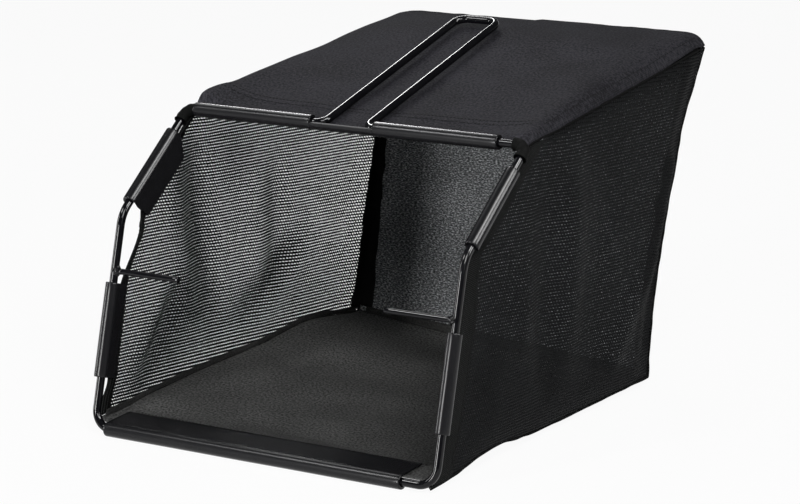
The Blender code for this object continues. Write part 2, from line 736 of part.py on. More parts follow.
def build_tapes():
    width = REAR_TOP_WIDTH
    height = REAR_TOP_HEIGHT
    floor_depth = REAR_BOTTOM_Y
    top_depth = REAR_TOP_Y - MOUTH_SETBACK
    side_depth = REAR_TOP_Y - MOUTH_SETBACK * 0.6
    for side, label in ((-1, "left"), (1, "right")):
        near = 0.0 if side < 0 else 1.0

        def panel(u, v, side=side):
            return side_point(side, u, v)

        def across(distance, side=side, near=near):
            return near - side * distance / width

        rear = (seam_side_of(panel, lambda s, d: (1 - d / side_depth, s)),
                seam_side_of(back_point, lambda s, d: (across(d), s)))
        low = (seam_side_of(panel, lambda s, d: (s, d / height)),
               seam_side_of(floor_point, lambda s, d: (across(d), s)))
        high = (seam_side_of(panel, lambda s, d: (s, 1 - d / height)),
                seam_side_of(top_point, lambda s, d: (across(d), s)))
        # Taken from left to right, so that tape and panel split their faces the same way
        seam_tape(label + "_rear_seam_tape", *rear[::-side], height, BACK_UP)
        seam_tape(label + "_floor_seam_tape", *low[::-side], floor_depth, FLOOR_ALONG)
        seam_tape(label + "_top_seam_tape", *high[::-side], top_depth, TOP_ALONG, TOP_FLANGE_WIDTH)
    seam_tape("rear_floor_seam_tape",
              seam_side_of(floor_point, lambda s, d: (s, 1 - d / floor_depth)),
              seam_side_of(back_point, lambda s, d: (s, d / height)), width, ACROSS)
    seam_tape("rear_top_seam_tape",
              seam_side_of(back_point, lambda s, d: (s, 1 - d / height)),
              seam_side_of(top_point, lambda s, d: (s, 1 - d / top_depth)), width, ACROSS)


def build_mouth_hem(side, label):
    """Folded hem along the front edge of a side panel, from the floor to the upper clip."""
    top_arc = LOWER_LENGTH + UPPER_PROFILE_START - TAPE_END_CLEARANCE
    clip_end = LOWER_PROFILE_START + LOWER_PROFILE_LENGTH
    past_flange = LOWER_FLANGE_WIDTH + GAP * 2 - MOUTH_INSET
    whole = mouth_arc(1.0) - mouth_arc(0.0)
    rows = [[], []]
    for arc in spread(HEM_STEPS, HEM_START, top_arc):
        v = (arc - mouth_arc(0.0)) / whole
        near = past_flange * (1 - smoothstep((arc - clip_end) / HEM_CROSSING))
        for row, distance in zip(rows, (near + GAP, near + GAP + HEM_WIDTH)):
            u = distance / (rear_seam(side, v).y - mouth_seam(side, v).y)
            point = side_point(side, u, v)
            normal = surface_normal(lambda a, b: side_point(side, a, b), u, v, BAG_MIDDLE)
            row.append(point + normal * SKIN_TO_TAPE)
    sheet_object(label + "_mouth_hem", rows, TAPE, BINDING)


build_frame_rod()
build_bottom_profile()
build_top_profile()
build_panels()
for SIDE, LABEL in ((-1, "left"), (1, "right")):
    build_hook_pin(SIDE, LABEL)
    build_side_profiles(SIDE, LABEL)
    build_net_panel(SIDE, LABEL)
    build_mouth_hem(SIDE, LABEL)
build_tapes()
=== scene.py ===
import math

import bmesh
import bpy
import numpy as np
from mathutils import Matrix, Vector


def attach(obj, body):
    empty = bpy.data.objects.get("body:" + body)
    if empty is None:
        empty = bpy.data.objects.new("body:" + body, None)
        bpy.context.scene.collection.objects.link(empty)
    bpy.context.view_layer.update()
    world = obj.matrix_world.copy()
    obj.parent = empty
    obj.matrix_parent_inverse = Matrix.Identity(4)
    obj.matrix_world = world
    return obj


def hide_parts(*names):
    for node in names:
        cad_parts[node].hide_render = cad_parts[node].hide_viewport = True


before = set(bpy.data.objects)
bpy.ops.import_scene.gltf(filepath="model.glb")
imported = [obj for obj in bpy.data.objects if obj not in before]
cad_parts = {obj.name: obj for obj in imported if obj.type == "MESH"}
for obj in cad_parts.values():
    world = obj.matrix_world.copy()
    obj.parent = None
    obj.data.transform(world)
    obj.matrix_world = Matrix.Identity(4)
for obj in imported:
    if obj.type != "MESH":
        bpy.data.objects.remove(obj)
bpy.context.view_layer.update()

# Sizes of the object, in metres, as its solids have them
ROD_DIAMETER = 0.007
FRAME_WIDTH = 0.340
KINK_SETBACK = 0.0468
KINK_RISE = 0.1742
MOUTH_SETBACK = 0.1424
MOUTH_RISE = 0.2484
BOTTOM_BEND_RADIUS = 0.016
KINK_BEND_RADIUS = 0.030
TOP_BEND_RADIUS = 0.010
HANDLE_WIDTH = 0.0422
HANDLE_OFFSET = -0.008
HANDLE_REACH = 0.2138
HANDLE_RISE = 0.0588
HANDLE_ROOT_RADIUS = 0.009
HANDLE_END_RADIUS = 0.011
CLIP_RADIUS = 0.0063
CLIP_BORE = 0.0039
CLIP_OPEN_ANGLE = 45.0
FLANGE_THICKNESS = 0.0012
BOTTOM_FLANGE_WIDTH = 0.030
BOTTOM_FLANGE_TILT = 3.0
TOP_FLANGE_WIDTH = 0.033
UPPER_FLANGE_WIDTH = 0.0225
LOWER_FLANGE_WIDTH = 0.0105
LOWER_PROFILE_START = 0.042
LOWER_PROFILE_LENGTH = 0.080
UPPER_PROFILE_START = 0.013
UPPER_PROFILE_LENGTH = 0.080
UPPER_FLANGE_MITRE = 0.60
UPPER_FLANGE_LOW_MITRE = 0.3
PROFILE_OFFSET = -0.0085
TOP_PROFILE_LENGTH = 0.305
BOTTOM_PROFILE_LENGTH = 0.296
NOTCH_MARGIN = 0.0105
NOTCH_FLOOR = 0.0005
PIN_DIAMETER = 0.0052
PIN_REACH = 0.0676
PIN_RISE = 0.1275
WELD_DIAMETER = 0.0084
WELD_LENGTH = 0.0028
CLOTH = 0.001
GAP = 0.0003
TAPE_GAP = 0.0005
MOUTH_INSET = 0.0045
KINK_SLACK = 0.019
SLACK_START = 0.010
SLACK_PEAK = 0.004
SLACK_END = 0.018
REAR_TOP_Y = 0.459
REAR_TOP_HEIGHT = 0.287
REAR_TOP_WIDTH = 0.322
REAR_CROWN = 0.0105
REAR_BOTTOM_Y = 0.376
REAR_BOTTOM_WIDTH = 0.314
REAR_LEAN_POWER = 1.8
BACK_BULGE = 0.006
SEAM_LIFT_REAR = 0.012
FLOOR_TURN_UP = 0.034
FLOOR_TOUCHDOWN = 0.070
FLOOR_TUCK = 0.004
FRONT_FOOT_LEFT = 0.0150
FRONT_FOOT_RIGHT = 0.0040
REAR_FOOT_LEFT = 0.0260
REAR_FOOT_RIGHT = 0.0080
SHOULDER_SHARPNESS = 30
RIDGE_SHARPNESS = 8
CROWN_SHARPNESS = 2.4
RIDGE_START = 0.014
CROWN_RUN = 0.090
TOP_SAG = 0.002
CREST_BLEND = 0.006
SIDE_BULGE = 0.004
BORDER = 0.010
TAPE_LEG = 0.008
HEM_WIDTH = 0.006

ROD_RADIUS = ROD_DIAMETER / 2
BAR_HEIGHT = CLIP_RADIUS
CLOTH_DROP = CLIP_RADIUS - FLANGE_THICKNESS - GAP - CLOTH / 2
HALF_FRAME = FRAME_WIDTH / 2
HANDLE_SLOPE = math.atan2(HANDLE_RISE, HANDLE_REACH)
FLOOR_CENTRE_Y = (FLOOR_TOUCHDOWN + REAR_BOTTOM_Y - FLOOR_TURN_UP) / 2
BOTTOM_CORNER = np.array([0.0, BAR_HEIGHT])
KINK_CORNER = np.array([KINK_SETBACK, BAR_HEIGHT + KINK_RISE])
TOP_CORNER = np.array([MOUTH_SETBACK, BAR_HEIGHT + MOUTH_RISE])
LOWER_LENGTH = float(np.linalg.norm(KINK_CORNER - BOTTOM_CORNER))
UPPER_LENGTH = float(np.linalg.norm(TOP_CORNER - KINK_CORNER))
LOWER_RUN = (KINK_CORNER - BOTTOM_CORNER) / LOWER_LENGTH
UPPER_RUN = (TOP_CORNER - KINK_CORNER) / UPPER_LENGTH
LOWER_BACK = np.array([LOWER_RUN[1], -LOWER_RUN[0]])
UPPER_BACK = np.array([UPPER_RUN[1], -UPPER_RUN[0]])


# Camera, at the photograph's place

CAMERA_PLACE = (1.4642, -2.2002, 0.7487)
CAMERA_YAW = -0.58597
CAMERA_PITCH = 0.22832
CAMERA_ROLL = -0.01611
CAMERA_LENS = 142.77


def add_camera():
    forward = Vector((math.sin(CAMERA_YAW) * math.cos(CAMERA_PITCH),
                      math.cos(CAMERA_YAW) * math.cos(CAMERA_PITCH), -math.sin(CAMERA_PITCH)))
    level = Vector((math.cos(CAMERA_YAW), -math.sin(CAMERA_YAW), 0))
    upward = level.cross(forward)
    right = level * math.cos(CAMERA_ROLL) + upward * math.sin(CAMERA_ROLL)
    top = upward * math.cos(CAMERA_ROLL) - level * math.sin(CAMERA_ROLL)
    data = bpy.data.cameras.new("camera")
    data.lens = CAMERA_LENS
    data.sensor_width = 36.0
    data.clip_end = 60.0
    camera = bpy.data.objects.new("camera", data)
    bpy.context.scene.collection.objects.link(camera)
    matrix = Matrix((right, top, -forward)).transposed().to_4x4()
    matrix.translation = Vector(CAMERA_PLACE)
    camera.matrix_world = matrix
    bpy.context.scene.camera = camera


# Numbers and surfaces

def ease(x):
    x = np.clip(x, 0.0, 1.0)
    return x * x * (3 - 2 * x)


def mix(a, b, t):
    return a + (b - a) * t


def frame_side(arc):
    """y, z on the frame's side and the rearward direction there."""
    blend = ease(0.5 + (arc - LOWER_LENGTH) / (2 * KINK_BEND_RADIUS))
    back_y = mix(LOWER_BACK[0], UPPER_BACK[0], blend)
    back_z = mix(LOWER_BACK[1], UPPER_BACK[1], blend)
    length = np.hypot(back_y, back_z)
    low = arc < LOWER_LENGTH
    beyond = arc - LOWER_LENGTH
    y = np.where(low, BOTTOM_CORNER[0] + LOWER_RUN[0] * arc, KINK_CORNER[0] + UPPER_RUN[0] * beyond)
    z = np.where(low, BOTTOM_CORNER[1] + LOWER_RUN[1] * arc, KINK_CORNER[1] + UPPER_RUN[1] * beyond)
    return y, z, back_y / length, back_z / length


def mouth_arc(side, v):
    start = np.where(side < 0, FRONT_FOOT_LEFT, FRONT_FOOT_RIGHT) - BAR_HEIGHT
    return mix(start, LOWER_LENGTH + UPPER_LENGTH, v)


def kink_slack(arc):
    low = LOWER_PROFILE_START + LOWER_PROFILE_LENGTH - SLACK_START
    peak = LOWER_LENGTH - SLACK_PEAK
    high = LOWER_LENGTH + UPPER_PROFILE_START + SLACK_END
    return KINK_SLACK * ease(np.minimum((arc - low) / (peak - low), (high - arc) / (high - peak)))


def mouth_seam(side, v):
    """Front edge of a side panel, as x on the right side, y and z."""
    arc = mouth_arc(side, v)
    y, z, back_y, back_z = frame_side(arc)
    slack = kink_slack(arc) * np.where(side < 0, 1.0, 0.2)
    foot = 0.0040 * ease((LOWER_PROFILE_START - 0.004 - arc) / 0.016)
    off = MOUTH_INSET + slack - foot
    return HALF_FRAME - CLOTH_DROP + 0 * v, y + back_y * off, z + back_z * off


def rear_seam(side, v):
    """Rear corner: the left one bellies back, the right one is drawn forward and down at its foot."""
    up = np.clip(v, 0, 1)
    lean = mix(REAR_BOTTOM_Y, REAR_TOP_Y, up ** REAR_LEAN_POWER)
    left = 0.014 * np.abs(np.sin(np.pi * up ** 0.65)) ** 1.3
    right = -0.011 * (1 - up) - 0.0045 * np.exp(-((up - 0.78) / 0.10) ** 2)
    lift = mix(np.where(side < 0, REAR_FOOT_LEFT, REAR_FOOT_RIGHT), REAR_TOP_HEIGHT, v)
    return mix(REAR_BOTTOM_WIDTH, REAR_TOP_WIDTH, v) / 2, lean + np.where(side < 0, left, right), lift


def past_clips(u, length):
    return np.maximum(0.0, (u * length - UPPER_FLANGE_WIDTH) / (length - UPPER_FLANGE_WIDTH))


def floor_seam(side, u):
    front = mouth_seam(side, 0.0)
    rear = rear_seam(side, 0.0)
    w = past_clips(u, rear[1] - front[1])
    belly = np.sin(np.pi * np.clip(w, 0, 1))
    y = mix(front[1], rear[1], u)
    ends = ease(u / 0.06) * ease((1 - u) / 0.06)
    left = 0.0055 * belly + 0.0065 * np.exp(-((y - 0.295) / 0.045) ** 2)
    right = 0.0080 * np.exp(-((y - 0.095) / 0.055) ** 2)
    rise = np.where(side < 0, left, right) * ends
    tuck = np.where(side < 0, 0.0, FLOOR_TUCK) * belly ** 2
    return mix(front[0], rear[0], w) - tuck, y, mix(front[2], rear[2], u) + rise


def top_seam(side, u):
    front = mouth_seam(side, 1.0)
    rear = rear_seam(side, 1.0)
    x = mix(front[0], rear[0], past_clips(u, rear[1] - front[1]))
    y = mix(front[1], rear[1], u)
    puff = np.where(side < 0, 1.0, 0.5) * np.exp(-((y - 0.164) / 0.022) ** 2) * ease(u / 0.035)
    return x + 0.0045 * puff, y, mix(front[2], rear[2], u) + 0.0045 * puff


def bump_line(y, z, ends, width, taper=0.25):
    """1 on the line between two points of the (y, z) plane, falling off across it and at its ends."""
    (y0, z0), (y1, z1) = ends
    dy, dz = y1 - y0, z1 - z0
    length = math.hypot(dy, dz)
    along = ((y - y0) * dy + (z - z0) * dz) / length ** 2
    across = ((y - y0) * dz - (z - z0) * dy) / length
    fade = ease((along + taper) / (2 * taper)) * ease((1 + taper - along) / (2 * taper))
    return np.exp(-(across / width) ** 2) * fade


def side_relief(side, y, z, hold):
    """How far the net stands out from its plain patch: folds and a soft belly."""
    if side < 0:
        out = 0.0060 * bump_line(y, z, ((0.150, 0.240), (0.168, 0.062)), 0.017)
        out -= 0.0045 * bump_line(y, z, ((0.114, 0.210), (0.130, 0.085)), 0.014)
        out += 0.0050 * bump_line(y, z, ((0.276, 0.190), (0.270, 0.085)), 0.015)
        out -= 0.0030 * bump_line(y, z, ((0.240, 0.175), (0.234, 0.085)), 0.013)
        out += 0.0040 * bump_line(y, z, ((0.310, 0.125), (0.200, 0.052)), 0.013)
        out -= 0.0030 * bump_line(y, z, ((0.310, 0.098), (0.215, 0.030)), 0.012)
        out += 0.0050 * bump_line(y, z, ((0.128, 0.102), (0.060, 0.026)), 0.012)
        out -= 0.0030 * bump_line(y, z, ((0.104, 0.108), (0.045, 0.040)), 0.009)
        return out + SIDE_BULGE * hold
    out = 0.0050 * bump_line(y, z, ((0.216, 0.236), (0.212, 0.060)), 0.019)
    out -= 0.0050 * bump_line(y, z, ((0.172, 0.215), (0.176, 0.045)), 0.019)
    out += 0.0040 * bump_line(y, z, ((0.134, 0.165), (0.138, 0.090)), 0.016)
    out -= 0.0030 * bump_line(y, z, ((0.270, 0.200), (0.255, 0.050)), 0.026)
    for ends in (((0.398, 0.200), (0.364, 0.120)), ((0.364, 0.120), (0.326, 0.084)),
                 ((0.326, 0.084), (0.285, 0.036))):
        out += 0.0050 * bump_line(y, z, ends, 0.015, 0.12)
    out -= 0.0050 * bump_line(y, z, ((0.412, 0.160), (0.360, 0.036)), 0.016)
    return out + SIDE_BULGE * hold


def side_plain(side, u, v):
    """Coons patch of a side panel in x (right side), y, z."""
    low, high = floor_seam(side, u), top_seam(side, u)
    front, rear = mouth_seam(side, v), rear_seam(side, v)
    c00, c10 = mouth_seam(side, 0.0), rear_seam(side, 0.0)
    c01, c11 = mouth_seam(side, 1.0), rear_seam(side, 1.0)
    w = past_clips(u, rear[1] - front[1])
    answer = []
    for axis, t in ((0, w), (1, u), (2, u)):
        bilinear = mix(mix(c00[axis], c10[axis], t), mix(c01[axis], c11[axis], t), v)
        answer.append(mix(low[axis], high[axis], v) + mix(front[axis], rear[axis], t) - bilinear)
    hold = np.sin(np.pi * np.clip(w, 0, 1)) * np.sin(np.pi * np.clip(v, 0, 1))
    return answer[0], answer[1], answer[2], hold


ROLL_HEIGHT = 0.022
ROLL_DEPTH = 0.0050


def side_surface(side, u, v):
    x, y, z, hold = side_plain(side, u, v)
    edge = ease(v / 0.12) * ease((1 - v) / 0.06) * ease(u / 0.10) * ease((1 - u) / 0.06)
    roll = (1 - np.clip((1 - v) * REAR_TOP_HEIGHT / ROLL_HEIGHT, 0, 1)) ** 2
    away = ease((u - 0.10) / 0.15) * ease((1 - u) / 0.10)
    foot = (1 - np.clip(v * REAR_TOP_HEIGHT / ROLL_HEIGHT, 0, 1)) ** 2
    x = x + side_relief(side, y, z, hold) * edge + ROLL_DEPTH * away * (1 - roll) * (1 - foot)
    return np.stack([side * x, y, z], -1)


def between(u, left, right):
    return [mix(a, b, u) for a, b in zip((-left[0], left[1], left[2]), right)]


def floor_surface(u, v):
    """Stiff floor: it lies on the ground right of its middle, and its left side and rear edge stand up."""
    left, right = floor_seam(-1, v), floor_seam(1, v)
    x, y, _ = between(u, left, right)
    tilt = math.radians(BOTTOM_FLANGE_TILT)
    under_flange = BAR_HEIGHT + CLOTH_DROP / math.cos(tilt) + y * math.tan(tilt) - 0.0009 * ease(y / 0.012)
    settle = ease((y - BOTTOM_FLANGE_WIDTH) / (FLOOR_TOUCHDOWN - BOTTOM_FLANGE_WIDTH))
    hang = left[2] * np.maximum(0.0, 1 - u / 0.72) ** 1.25
    rise = right[2] * np.maximum(0.0, (u - 0.88) / 0.12) ** 1.6
    plain = mix(under_flange, CLOTH / 2 + hang + rise, settle)
    border = np.maximum(0.0, 1 - np.minimum(x + left[0], right[0] - x) / BORDER) ** 2
    z = mix(plain, np.where(u < 0.5, left[2], right[2]), border)
    rear_turn = np.maximum(0.0, 1 - (REAR_BOTTOM_Y - y) / FLOOR_TURN_UP) ** 2
    z = mix(z, mix(rear_seam(-1, 0.0)[2], rear_seam(1, 0.0)[2], u), rear_turn)
    ripple = 0.0005 * (np.sin(41 * x + 23 * y) + np.sin(67 * y - 29 * x))
    ripple = ripple * settle * (1 - border) * (1 - rear_turn)
    return np.stack([x, y, np.maximum(z + ripple, CLOTH / 2)], -1)


def under_handle(y):
    return TOP_CORNER[1] - CLOTH_DROP / math.cos(HANDLE_SLOPE) + (y - TOP_CORNER[0]) * math.tan(HANDLE_SLOPE)


def top_middle(y):
    crest_y = TOP_CORNER[0] + HANDLE_REACH
    flange_end = TOP_CORNER[0] + TOP_FLANGE_WIDTH
    sag = TOP_SAG * np.sin(np.pi * np.clip((y - flange_end) / (crest_y - flange_end), 0, 1))
    rising = under_handle(y) - sag
    peak = under_handle(crest_y + ROD_RADIUS)
    falling = mix(peak, REAR_TOP_HEIGHT + REAR_CROWN, (y - crest_y) / (REAR_TOP_Y - crest_y))
    difference = falling - rising
    return np.where(y < flange_end, rising, (rising + falling - np.hypot(difference, CREST_BLEND)) / 2)


def waves(x, y):
    """Slow undulation of slack cloth, about -1 to 1."""
    return (np.sin(34 * x + 21 * y + 0.6) + np.sin(57 * y - 26 * x + 1.9) + np.sin(71 * x + 44 * y + 4.0)
            + 0.8 * np.sin(103 * y + 61 * x + 2.2)) / 3.8


def top_surface(u, v):
    left, right = top_seam(-1, v), top_seam(1, v)
    x, y, z_seam = between(u, left, right)
    across = np.abs(2 * u - 1)
    growth = np.where(u < 0.5, ease((y - TOP_CORNER[0] - 0.0036) / 0.009),
                      ease((y - TOP_CORNER[0] + 0.002) / RIDGE_START))
    front = np.where(u < 0.5, 0.0205 + 0.0072 * (1 - ease((y - 0.180) / 0.085)), 0.0165)
    dip = np.where(u < 0.5, 0.0025, 0.0) * np.exp(-((y - 0.325) / 0.03) ** 2)
    shoulder = mix(front, 0.0110, ease(v)) * growth - dip
    behind = (y - TOP_CORNER[0] - TOP_FLANGE_WIDTH) / CROWN_RUN
    power = mix(RIDGE_SHARPNESS, CROWN_SHARPNESS, ease(behind))
    z = mix(top_middle(y), z_seam + shoulder, across ** power)
    z = z - shoulder * across ** SHOULDER_SHARPNESS
    loose = ease((y - TOP_CORNER[0] - TOP_FLANGE_WIDTH) / 0.030) * ease((1 - v) / 0.10) * (1 - across ** 8)
    under = ease((np.abs(x - HANDLE_OFFSET) - HANDLE_WIDTH / 2 - 0.004) / 0.030)
    z = z + 0.0016 * waves(x, y) * loose * under
    z = z + 0.0013 * np.where(u > 0.5, ease((y - 0.40) / 0.05), 0.0)
    ledge = np.exp(-((y - TOP_CORNER[0] - TOP_FLANGE_WIDTH - 0.004) / 0.006) ** 2)
    z = z + 0.0014 * ledge * (1 - across ** 8) * under
    z = z + 0.0020 * ease((y - 0.36) / 0.06) * ease((1 - v) / 0.05)
    return np.stack([x, y, z], -1)


def back_surface(u, v):
    left, right = rear_seam(-1, v), rear_seam(1, v)
    x, y, z = between(u, left, right)
    across = 1 - (2 * u - 1) ** 2
    y = y + (BACK_BULGE + 0.0012 * waves(x, z * 1.4)) * across * np.sin(np.pi * v)
    crown = top_surface(u, np.ones_like(u))[..., 2] - REAR_TOP_HEIGHT
    return np.stack([x, y, z + crown * np.clip(v, 0, 1) ** 6], -1)


def normals(surface, u, v, inside):
    """Unit normals of a surface, turned to the inside of the bag (inside is 1) or the outside (-1)."""
    step = 0.002
    u0, u1 = np.clip(u - step, 0, 1), np.clip(u + step, 0, 1)
    v0, v1 = np.clip(v - step, 0, 1), np.clip(v + step, 0, 1)
    normal = np.cross(surface(u1, v) - surface(u0, v), surface(u, v1) - surface(u, v0))
    normal /= np.linalg.norm(normal, axis=-1, keepdims=True) + 1e-12
    middle = np.array([0.0, 0.27, 0.13])
    turn = np.sign(np.sum(normal * (middle - surface(u, v)), -1, keepdims=True))
    return normal * turn * inside


# Mesh helpers

def to_world(points):
    return np.asarray(points) - np.array([0.0, FLOOR_CENTRE_Y, 0.0])


def make_object(name, points, faces, material, uv=None, smooth=True):
    """Mesh object from points in the bag's own frame."""
    mesh = bpy.data.meshes.new(name)
    mesh.from_pydata(to_world(points).tolist(), [], faces)
    mesh.update()
    if uv is not None:
        layer = mesh.uv_layers.new(name="weave")
        index = np.empty(len(mesh.loops), dtype=np.int32)
        mesh.loops.foreach_get("vertex_index", index)
        layer.data.foreach_set("uv", np.asarray(uv, dtype=np.float32)[index].ravel())
    if smooth:
        mesh.shade_smooth()
    thing = bpy.data.objects.new(name, mesh)
    bpy.context.scene.collection.objects.link(thing)
    mesh.materials.append(material)
    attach(thing, "root")
    return thing


def grid_faces(rows, columns, closed=False):
    last = columns if closed else columns - 1
    return [(j * columns + i, j * columns + (i + 1) % columns, (j + 1) * columns + (i + 1) % columns,
             (j + 1) * columns + i) for j in range(rows - 1) for i in range(last)]


def cloth_sheet(name, surface, us, vs, size, material, thickness, offset=0.0):
    """A panel over a (u, v) grid, with its weave in metres in the UV layer."""
    u, v = np.meshgrid(us, vs)
    points = surface(u, v)
    rows, columns = u.shape
    uv = np.stack([u * size[0], v * size[1]], -1).reshape(-1, 2)
    thing = make_object(name, points.reshape(-1, 3), grid_faces(rows, columns), material, uv)
    solid = thing.modifiers.new("thickness", "SOLIDIFY")
    solid.thickness = thickness
    solid.offset = offset
    return thing


def tube(name, path, radius, material, sides=12, closed=False, caps=True):
    """Round tube along a path, with frames carried along it without twist."""
    path = np.asarray(path, dtype=float)
    radius = np.broadcast_to(radius, len(path))
    following = np.roll(path, -1, 0) - path
    leading = path - np.roll(path, 1, 0)
    tangent = following + leading
    if not closed:
        tangent[0] = following[0]
        tangent[-1] = leading[-1]
    tangent /= np.linalg.norm(tangent, axis=1, keepdims=True)
    side = np.cross(tangent[0], [0.0, 0.0, 1.0])
    if np.linalg.norm(side) < 0.1:
        side = np.cross(tangent[0], [1.0, 0.0, 0.0])
    points = []
    angles = np.linspace(0, 2 * np.pi, sides, endpoint=False)
    for place, direction, size in zip(path, tangent, radius):
        side = side - direction * np.dot(side, direction)
        side /= np.linalg.norm(side)
        other = np.cross(direction, side)
        for angle in angles:
            points.append(place + (side * math.cos(angle) + other * math.sin(angle)) * size)
    faces = grid_faces(len(path), sides, closed=True)
    count = len(path)
    if closed:
        first = np.array(points[:sides])
        final = np.array(points[-sides:])
        shift = int(np.argmin([np.sum((np.roll(first, -k, 0) - final) ** 2) for k in range(sides)]))
        base = (count - 1) * sides
        for i in range(sides):
            faces.append((base + i, base + (i + 1) % sides, (i + 1 + shift) % sides, (i + shift) % sides))
    elif caps:
        faces.append(tuple(reversed(range(sides))))
        faces.append(tuple(range((count - 1) * sides, count * sides)))
    return make_object(name, points, faces, material)


def stitches(name, path, pitch, length, radius, material, lift=None):
    """A row of short thread bumps along a path of points."""
    path = np.asarray(path, dtype=float)
    steps = np.linalg.norm(np.diff(path, axis=0), axis=1)
    distance = np.concatenate([[0.0], np.cumsum(steps)])
    count = max(1, int(distance[-1] / pitch))
    points, faces = [], []
    ring = 6
    for k in range(count):
        middle = (k + 0.5) * pitch
        start = np.array([np.interp(middle - length / 2, distance, path[:, a]) for a in range(3)])
        end = np.array([np.interp(middle + length / 2, distance, path[:, a]) for a in range(3)])
        direction = (end - start) / (np.linalg.norm(end - start) + 1e-12)
        up = np.array([0.0, 0.0, 1.0]) if lift is None else np.asarray(lift, dtype=float)
        across = np.cross(direction, up)
        across /= np.linalg.norm(across) + 1e-12
        up = np.cross(across, direction)
        base = len(points)
        for t, grow in ((0.0, 0.15), (0.16, 0.85), (0.5, 1.0), (0.84, 0.85), (1.0, 0.15)):
            centre = start + (end - start) * t + up * radius * (1.2 * math.sin(math.pi * t) - 0.5)
            for i in range(ring):
                angle = 2 * math.pi * i / ring
                points.append(centre + (across * math.cos(angle) + up * math.sin(angle)) * radius * grow)
        for j in range(4):
            for i in range(ring):
                a = base + j * ring + i
                b = base + j * ring + (i + 1) % ring
                faces.append((a, b, b + ring, a + ring))
        faces.append(tuple(base + i for i in reversed(range(ring))))
        faces.append(tuple(base + 4 * ring + i for i in range(ring)))
    return make_object(name, points, faces, material)


# Materials

def new_material(name):
    material = bpy.data.materials.new(name)
    material.use_nodes = True
    tree = material.node_tree
    tree.nodes.clear()
    shader = tree.nodes.new("ShaderNodeBsdfPrincipled")
    output = tree.nodes.new("ShaderNodeOutputMaterial")
    tree.links.new(shader.outputs[0], output.inputs["Surface"])
    return material, tree, shader


def add_node(tree, kind, **settings):
    node = tree.nodes.new(kind)
    for key, value in settings.items():
        if key in node.inputs:
            node.inputs[key].default_value = value
        else:
            setattr(node, key, value)
    return node


def ramp(tree, source, stops):
    """Colour ramp from (position, colour) stops."""
    node = tree.nodes.new("ShaderNodeValToRGB")
    tree.links.new(source, node.inputs["Fac"])
    elements = node.color_ramp.elements
    while len(elements) < len(stops):
        elements.new(0.5)
    for element, (position, colour) in zip(elements, stops):
        element.position = position
        element.color = (*colour, 1.0) if len(colour) == 3 else colour
    return node.outputs["Color"]


def noise_node(tree, vector, scale, detail=4.0, roughness=0.55):
    node = tree.nodes.new("ShaderNodeTexNoise")
    node.inputs["Scale"].default_value = scale
    node.inputs["Detail"].default_value = detail
    node.inputs["Roughness"].default_value = roughness
    tree.links.new(vector, node.inputs["Vector"])
    return node.outputs["Fac"]


def math_node(tree, operation, first, second):
    node = tree.nodes.new("ShaderNodeMath")
    node.operation = operation
    for socket, value in zip(node.inputs, (first, second)):
        if isinstance(value, (int, float)):
            socket.default_value = value
        else:
            tree.links.new(value, socket)
    return node.outputs[0]


def bump_node(tree, height, distance, strength=1.0, normal=None):
    node = tree.nodes.new("ShaderNodeBump")
    node.inputs["Distance"].default_value = distance
    node.inputs["Strength"].default_value = strength
    tree.links.new(height, node.inputs["Height"])
    if normal is not None:
        tree.links.new(normal, node.inputs["Normal"])
    return node.outputs["Normal"]


def weave_wave(tree, vector, direction, pitch):
    """Sine bands of one thread set; a wave at scale 1 has about 3.18 periods a unit."""
    node = tree.nodes.new("ShaderNodeTexWave")
    node.bands_direction = direction
    node.inputs["Scale"].default_value = math.pi / (10.0 * pitch)
    node.inputs["Distortion"].default_value = 0.6
    node.inputs["Detail"].default_value = 1.0
    node.inputs["Detail Scale"].default_value = 2.0
    tree.links.new(vector, node.inputs["Vector"])
    return node.outputs["Fac"]


def stretched(tree, source, scale):
    node = tree.nodes.new("ShaderNodeMapping")
    node.inputs["Scale"].default_value = scale
    tree.links.new(source, node.inputs["Vector"])
    return node.outputs[0]


def cloth_material(name, stops, pitch, weave_depth, roughness, grain_scale=900.0, grain_share=0.4,
                   mottle=0.35, stretch=(1.0, 1.0, 1.0), sheen=0.0, specular=0.06):
    """Woven cloth: two thread sets in the UV layer, grain, slow mottling and a fine bump."""
    material, tree, shader = new_material(name)
    uv = tree.nodes.new("ShaderNodeUVMap")
    uv.uv_map = "weave"
    place = tree.nodes.new("ShaderNodeTexCoord").outputs["Object"]
    warp = weave_wave(tree, uv.outputs[0], "X", pitch)
    weft = weave_wave(tree, uv.outputs[0], "Y", pitch)
    threads = math_node(tree, "MULTIPLY", warp, weft)
    grain = noise_node(tree, stretched(tree, uv.outputs[0], stretch), grain_scale, 2.0, 0.65)
    cloud = noise_node(tree, place, 17.0, 5.0, 0.6)
    tone = math_node(tree, "ADD", math_node(tree, "MULTIPLY", cloud, mottle),
                     math_node(tree, "MULTIPLY", grain, grain_share))
    tone = math_node(tree, "ADD", tone, math_node(tree, "MULTIPLY", threads, 1.0 - mottle - grain_share))
    tree.links.new(ramp(tree, tone, stops), shader.inputs["Base Color"])
    rough = ramp(tree, cloud, ((0.3, (roughness - 0.08,) * 3), (0.7, (roughness + 0.06,) * 3)))
    tree.links.new(rough, shader.inputs["Roughness"])
    height = math_node(tree, "ADD", threads, math_node(tree, "MULTIPLY", grain, 0.8))
    tree.links.new(bump_node(tree, height, weave_depth), shader.inputs["Normal"])
    shader.inputs["Specular IOR Level"].default_value = specular
    shader.inputs["Sheen Weight"].default_value = sheen
    shader.inputs["Sheen Roughness"].default_value = 0.5
    return material


